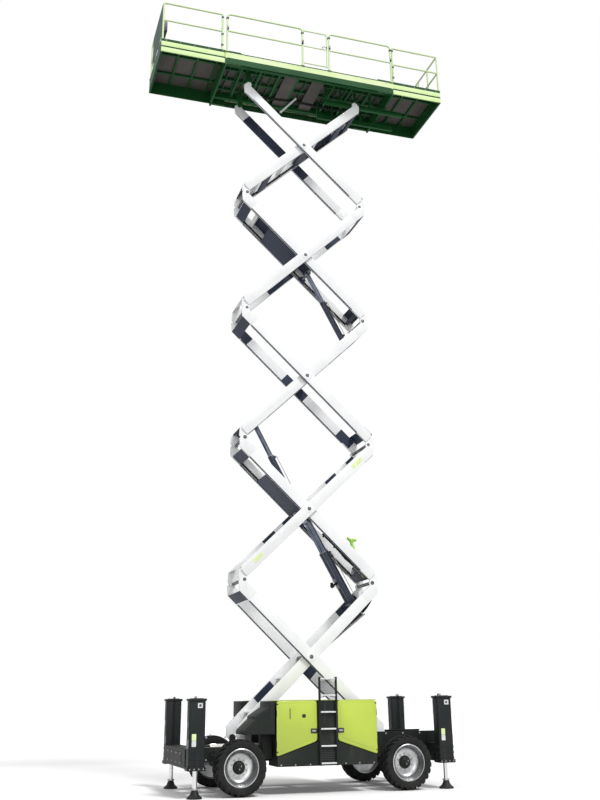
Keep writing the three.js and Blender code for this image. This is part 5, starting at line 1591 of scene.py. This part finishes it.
# safety prop's lever, held in a bracket on the upper face of the second falling arm
safetyLever = {"path": [(1.18, -0.280, 0.090), (1.06, -0.280, 0.150), (0.99, -0.280, 0.215),
                        (1.05, -0.280, 0.285)],
               "bend": 0.05, "ends": (0.040, 0.020), "radius": 0.032,
               "grip": [(1.01, -0.280, 0.205), (0.90, -0.280, 0.190)], "gripRadii": [0.034, 0.024],
               "bracket": [((1.08, -0.327, 0.050), (1.20, -0.245, 0.094)),
                           ((1.10, -0.312, 0.09), (1.115, -0.248, 0.165)),
                           ((0.985, -0.302, 0.17), (1.015, -0.258, 0.235))]}
leverPath = bentPath(safetyLever["path"], safetyLever["bend"])
leverRadii = [safetyLever["ends"][0], *[safetyLever["radius"]] * (len(leverPath) - 2), safetyLever["ends"][1]]
lever = (pipe(leverPath, leverRadii, 10) + blocks(safetyLever["bracket"], 0.003)
         + pipe(safetyLever["grip"], safetyLever["gripRadii"], 10))
piece("safetyLever", "arms_2_inner", [(tilted(lever, 2, -outerRise(2)), leverGreen)])


# distances along the arm are measured back from the elbow's pin
valves = {
    # boxes: (far x, near x, y, y, z, z, edge)
    "boxes": [(0.46, 0.26, -0.310, -0.166, -0.090, 0.050, 0.010),
              (0.42, 0.30, -0.290, -0.170, -0.098, -0.030, 0.008),
              (0.72, 0.56, -0.305, -0.160, -0.095, 0.010, 0.010),
              (0.27, 0.10, -0.290, -0.166, -0.094, 0.060, 0.014)],
    "coils": (0.40, 0.33, 0.26), "clamps": (0.62, 0.92, 1.20),
    # hoses: how many, first y, step, radius, bend, and the path as (x, z, how far each next one drops)
    "hoses": [(5, -0.178, 0.028, 0.018, 0.10, [(0.42, -0.070, 0), (0.60, -0.075, 0.01), (0.95, -0.062, 0),
                                               (1.25, -0.066, 0)]),
              (4, -0.182, 0.034, 0.017, 0.05, [(0.24, -0.060, 0), (0.15, -0.082, 0), (0.09, -0.050, 0),
                                               (0.07, 0.020, 0), (0.14, 0.060, 0)]),
              (3, -0.190, 0.045, 0.016, 0.08, [(0.86, 0.020, 0), (0.80, -0.075, 0), (0.52, -0.070, 0),
                                               (0.42, -0.020, 0)])]}


def valveSet():
    # manifold, solenoids and hose loops that hang inside the second inner frame by its right elbow
    black = [block((pinReach - far, y0, z0), (pinReach - near, y1, z1), edge, 2)
             for far, near, y0, y1, z0, z1, edge in valves["boxes"]]
    steel, hose = [], []
    for x in pinReach - np.array(valves["coils"]):
        black.append(lathe([(0.0, -0.055), (0.018, -0.053), (0.022, -0.045), (0.022, 0.0),
                            (0.014, 0.004), (0.014, 0.02)],
                           "z", (x, -0.250, -0.040), 14))
        steel.append(lathe([(0.0, 0.0), (0.010, 0.0), (0.010, 0.030), (0.0, 0.032)], "z",
                           (x, -0.200, -0.098), 10))
    mark = block((pinReach - 0.22, -0.230, -0.098), (pinReach - 0.14, -0.190, -0.090), 0.003, 1)
    for count, first, step, radius, bend, path in valves["hoses"]:
        for k in range(count):
            corner = [(pinReach - x, first - step * k, z - drop * k) for x, z, drop in path]
            hose.append(pipe(bentPath(corner, bend), radius, 8))
    for x in pinReach - np.array(valves["clamps"]):  # clamps that hold the hoses to the frame
        black.append(block((x - 0.016, -0.330, -0.094), (x + 0.016, -0.140, -0.046), 0.006, 1))
    shapes = [(gathered(black), blackPlastic), (gathered(steel), boltSteel), (gathered(hose), hoseRubber),
              (mark, leverGreen)]
    piece("valveSet", "arms_2_inner", [(tilted(shape, 2, -outerRise(2)), finish) for shape, finish in shapes])


valveSet()


def hoseTray():
    # light tray with its hose bundle, under the first inner frame near the right elbow
    start, stop = 0.43, 1.29
    slope = (-0.095, 0.888)  # falls away from the arm towards its outer end: (drop, run)

    def under(x):
        return -0.100 + slope[0] * (x - start) / slope[1]

    light = [pipe([(start, y, under(start)), (stop, y, under(stop))], 0.011, 8) for y in (-0.320, -0.190)]
    light += [block((x - 0.012, -0.329, under(x) - 0.01), (x + 0.012, -0.321, -0.090), 0.002, 1)
              for x in (0.62, 0.95, 1.25)]
    hose = [pipe(bentPath([(start + 0.02, y, under(start) + 0.03), (1.18, y, under(1.18) + 0.035),
                           (1.36, y, -0.150),
                           (pinReach - 0.20, y, -0.110), (pinReach - 0.12, y, -0.02)], 0.08), 0.015, 8)
            for y in (-0.305, -0.275, -0.245, -0.215)]
    hose += [pipe(bentPath([(1.08, y, -0.05), (1.14, y, -0.15), (1.30, y, -0.14), (1.36, y, -0.05)], 0.06),
                  0.013, 8)
             for y in (-0.295, -0.250)]
    knot = block((1.12, -0.315, -0.150), (1.26, -0.190, -0.080), 0.014, 2)
    shapes = [(gathered(light), greyPlastic), (gathered(hose), hoseRubber), (knot, blackPlastic)]
    piece("hoseTray", "arms_1_inner", [(tilted(shape, 1, -outerRise(1)), finish) for shape, finish in shapes])


hoseTray()


def cableRuns():
    # a pair of hoses clipped along the inner face of one arm on every stage
    for stage in range(1, armSet["stages"] + 1):
        rise = -outerRise(stage)
        y = armSet["innerY"] - armSet["thickness"] - 0.012
        runs = [pipe([(-pinReach + 0.20, y, z), (pinReach - 0.20, y, z)], 0.009, 8) for z in (-0.070, -0.048)]
        clips = blocks([((x - 0.012, y - 0.013, -0.084), (x + 0.012, y + 0.014, -0.034))
                        for x in np.linspace(-pinReach + 0.32, pinReach - 0.32, 7)], 0.003)
        piece(f"hoseRun{stage}", f"arms_{stage}_inner",
              [(tilted(gathered(runs), stage, rise), hoseRubber), (tilted(clips, stage, rise), blackPlastic)])


cableRuns()

# stay under the deck, with a foot at each end
stay = {"line": [(-0.422, -0.20, 13.333), (-0.088, -0.20, 13.734)], "radius": 0.022, "edge": 0.006,
        "feet": [((-0.45, -0.225, 13.315), (-0.40, -0.175, 13.345)),
                 ((-0.11, -0.225, 13.720), (-0.07, -0.175, 13.750))]}
piece("topStay", "platform", [(pipe(stay["line"], stay["radius"], 12) + blocks(stay["feet"], stay["edge"]),
                               innerPaint)])
print("stack gear made")
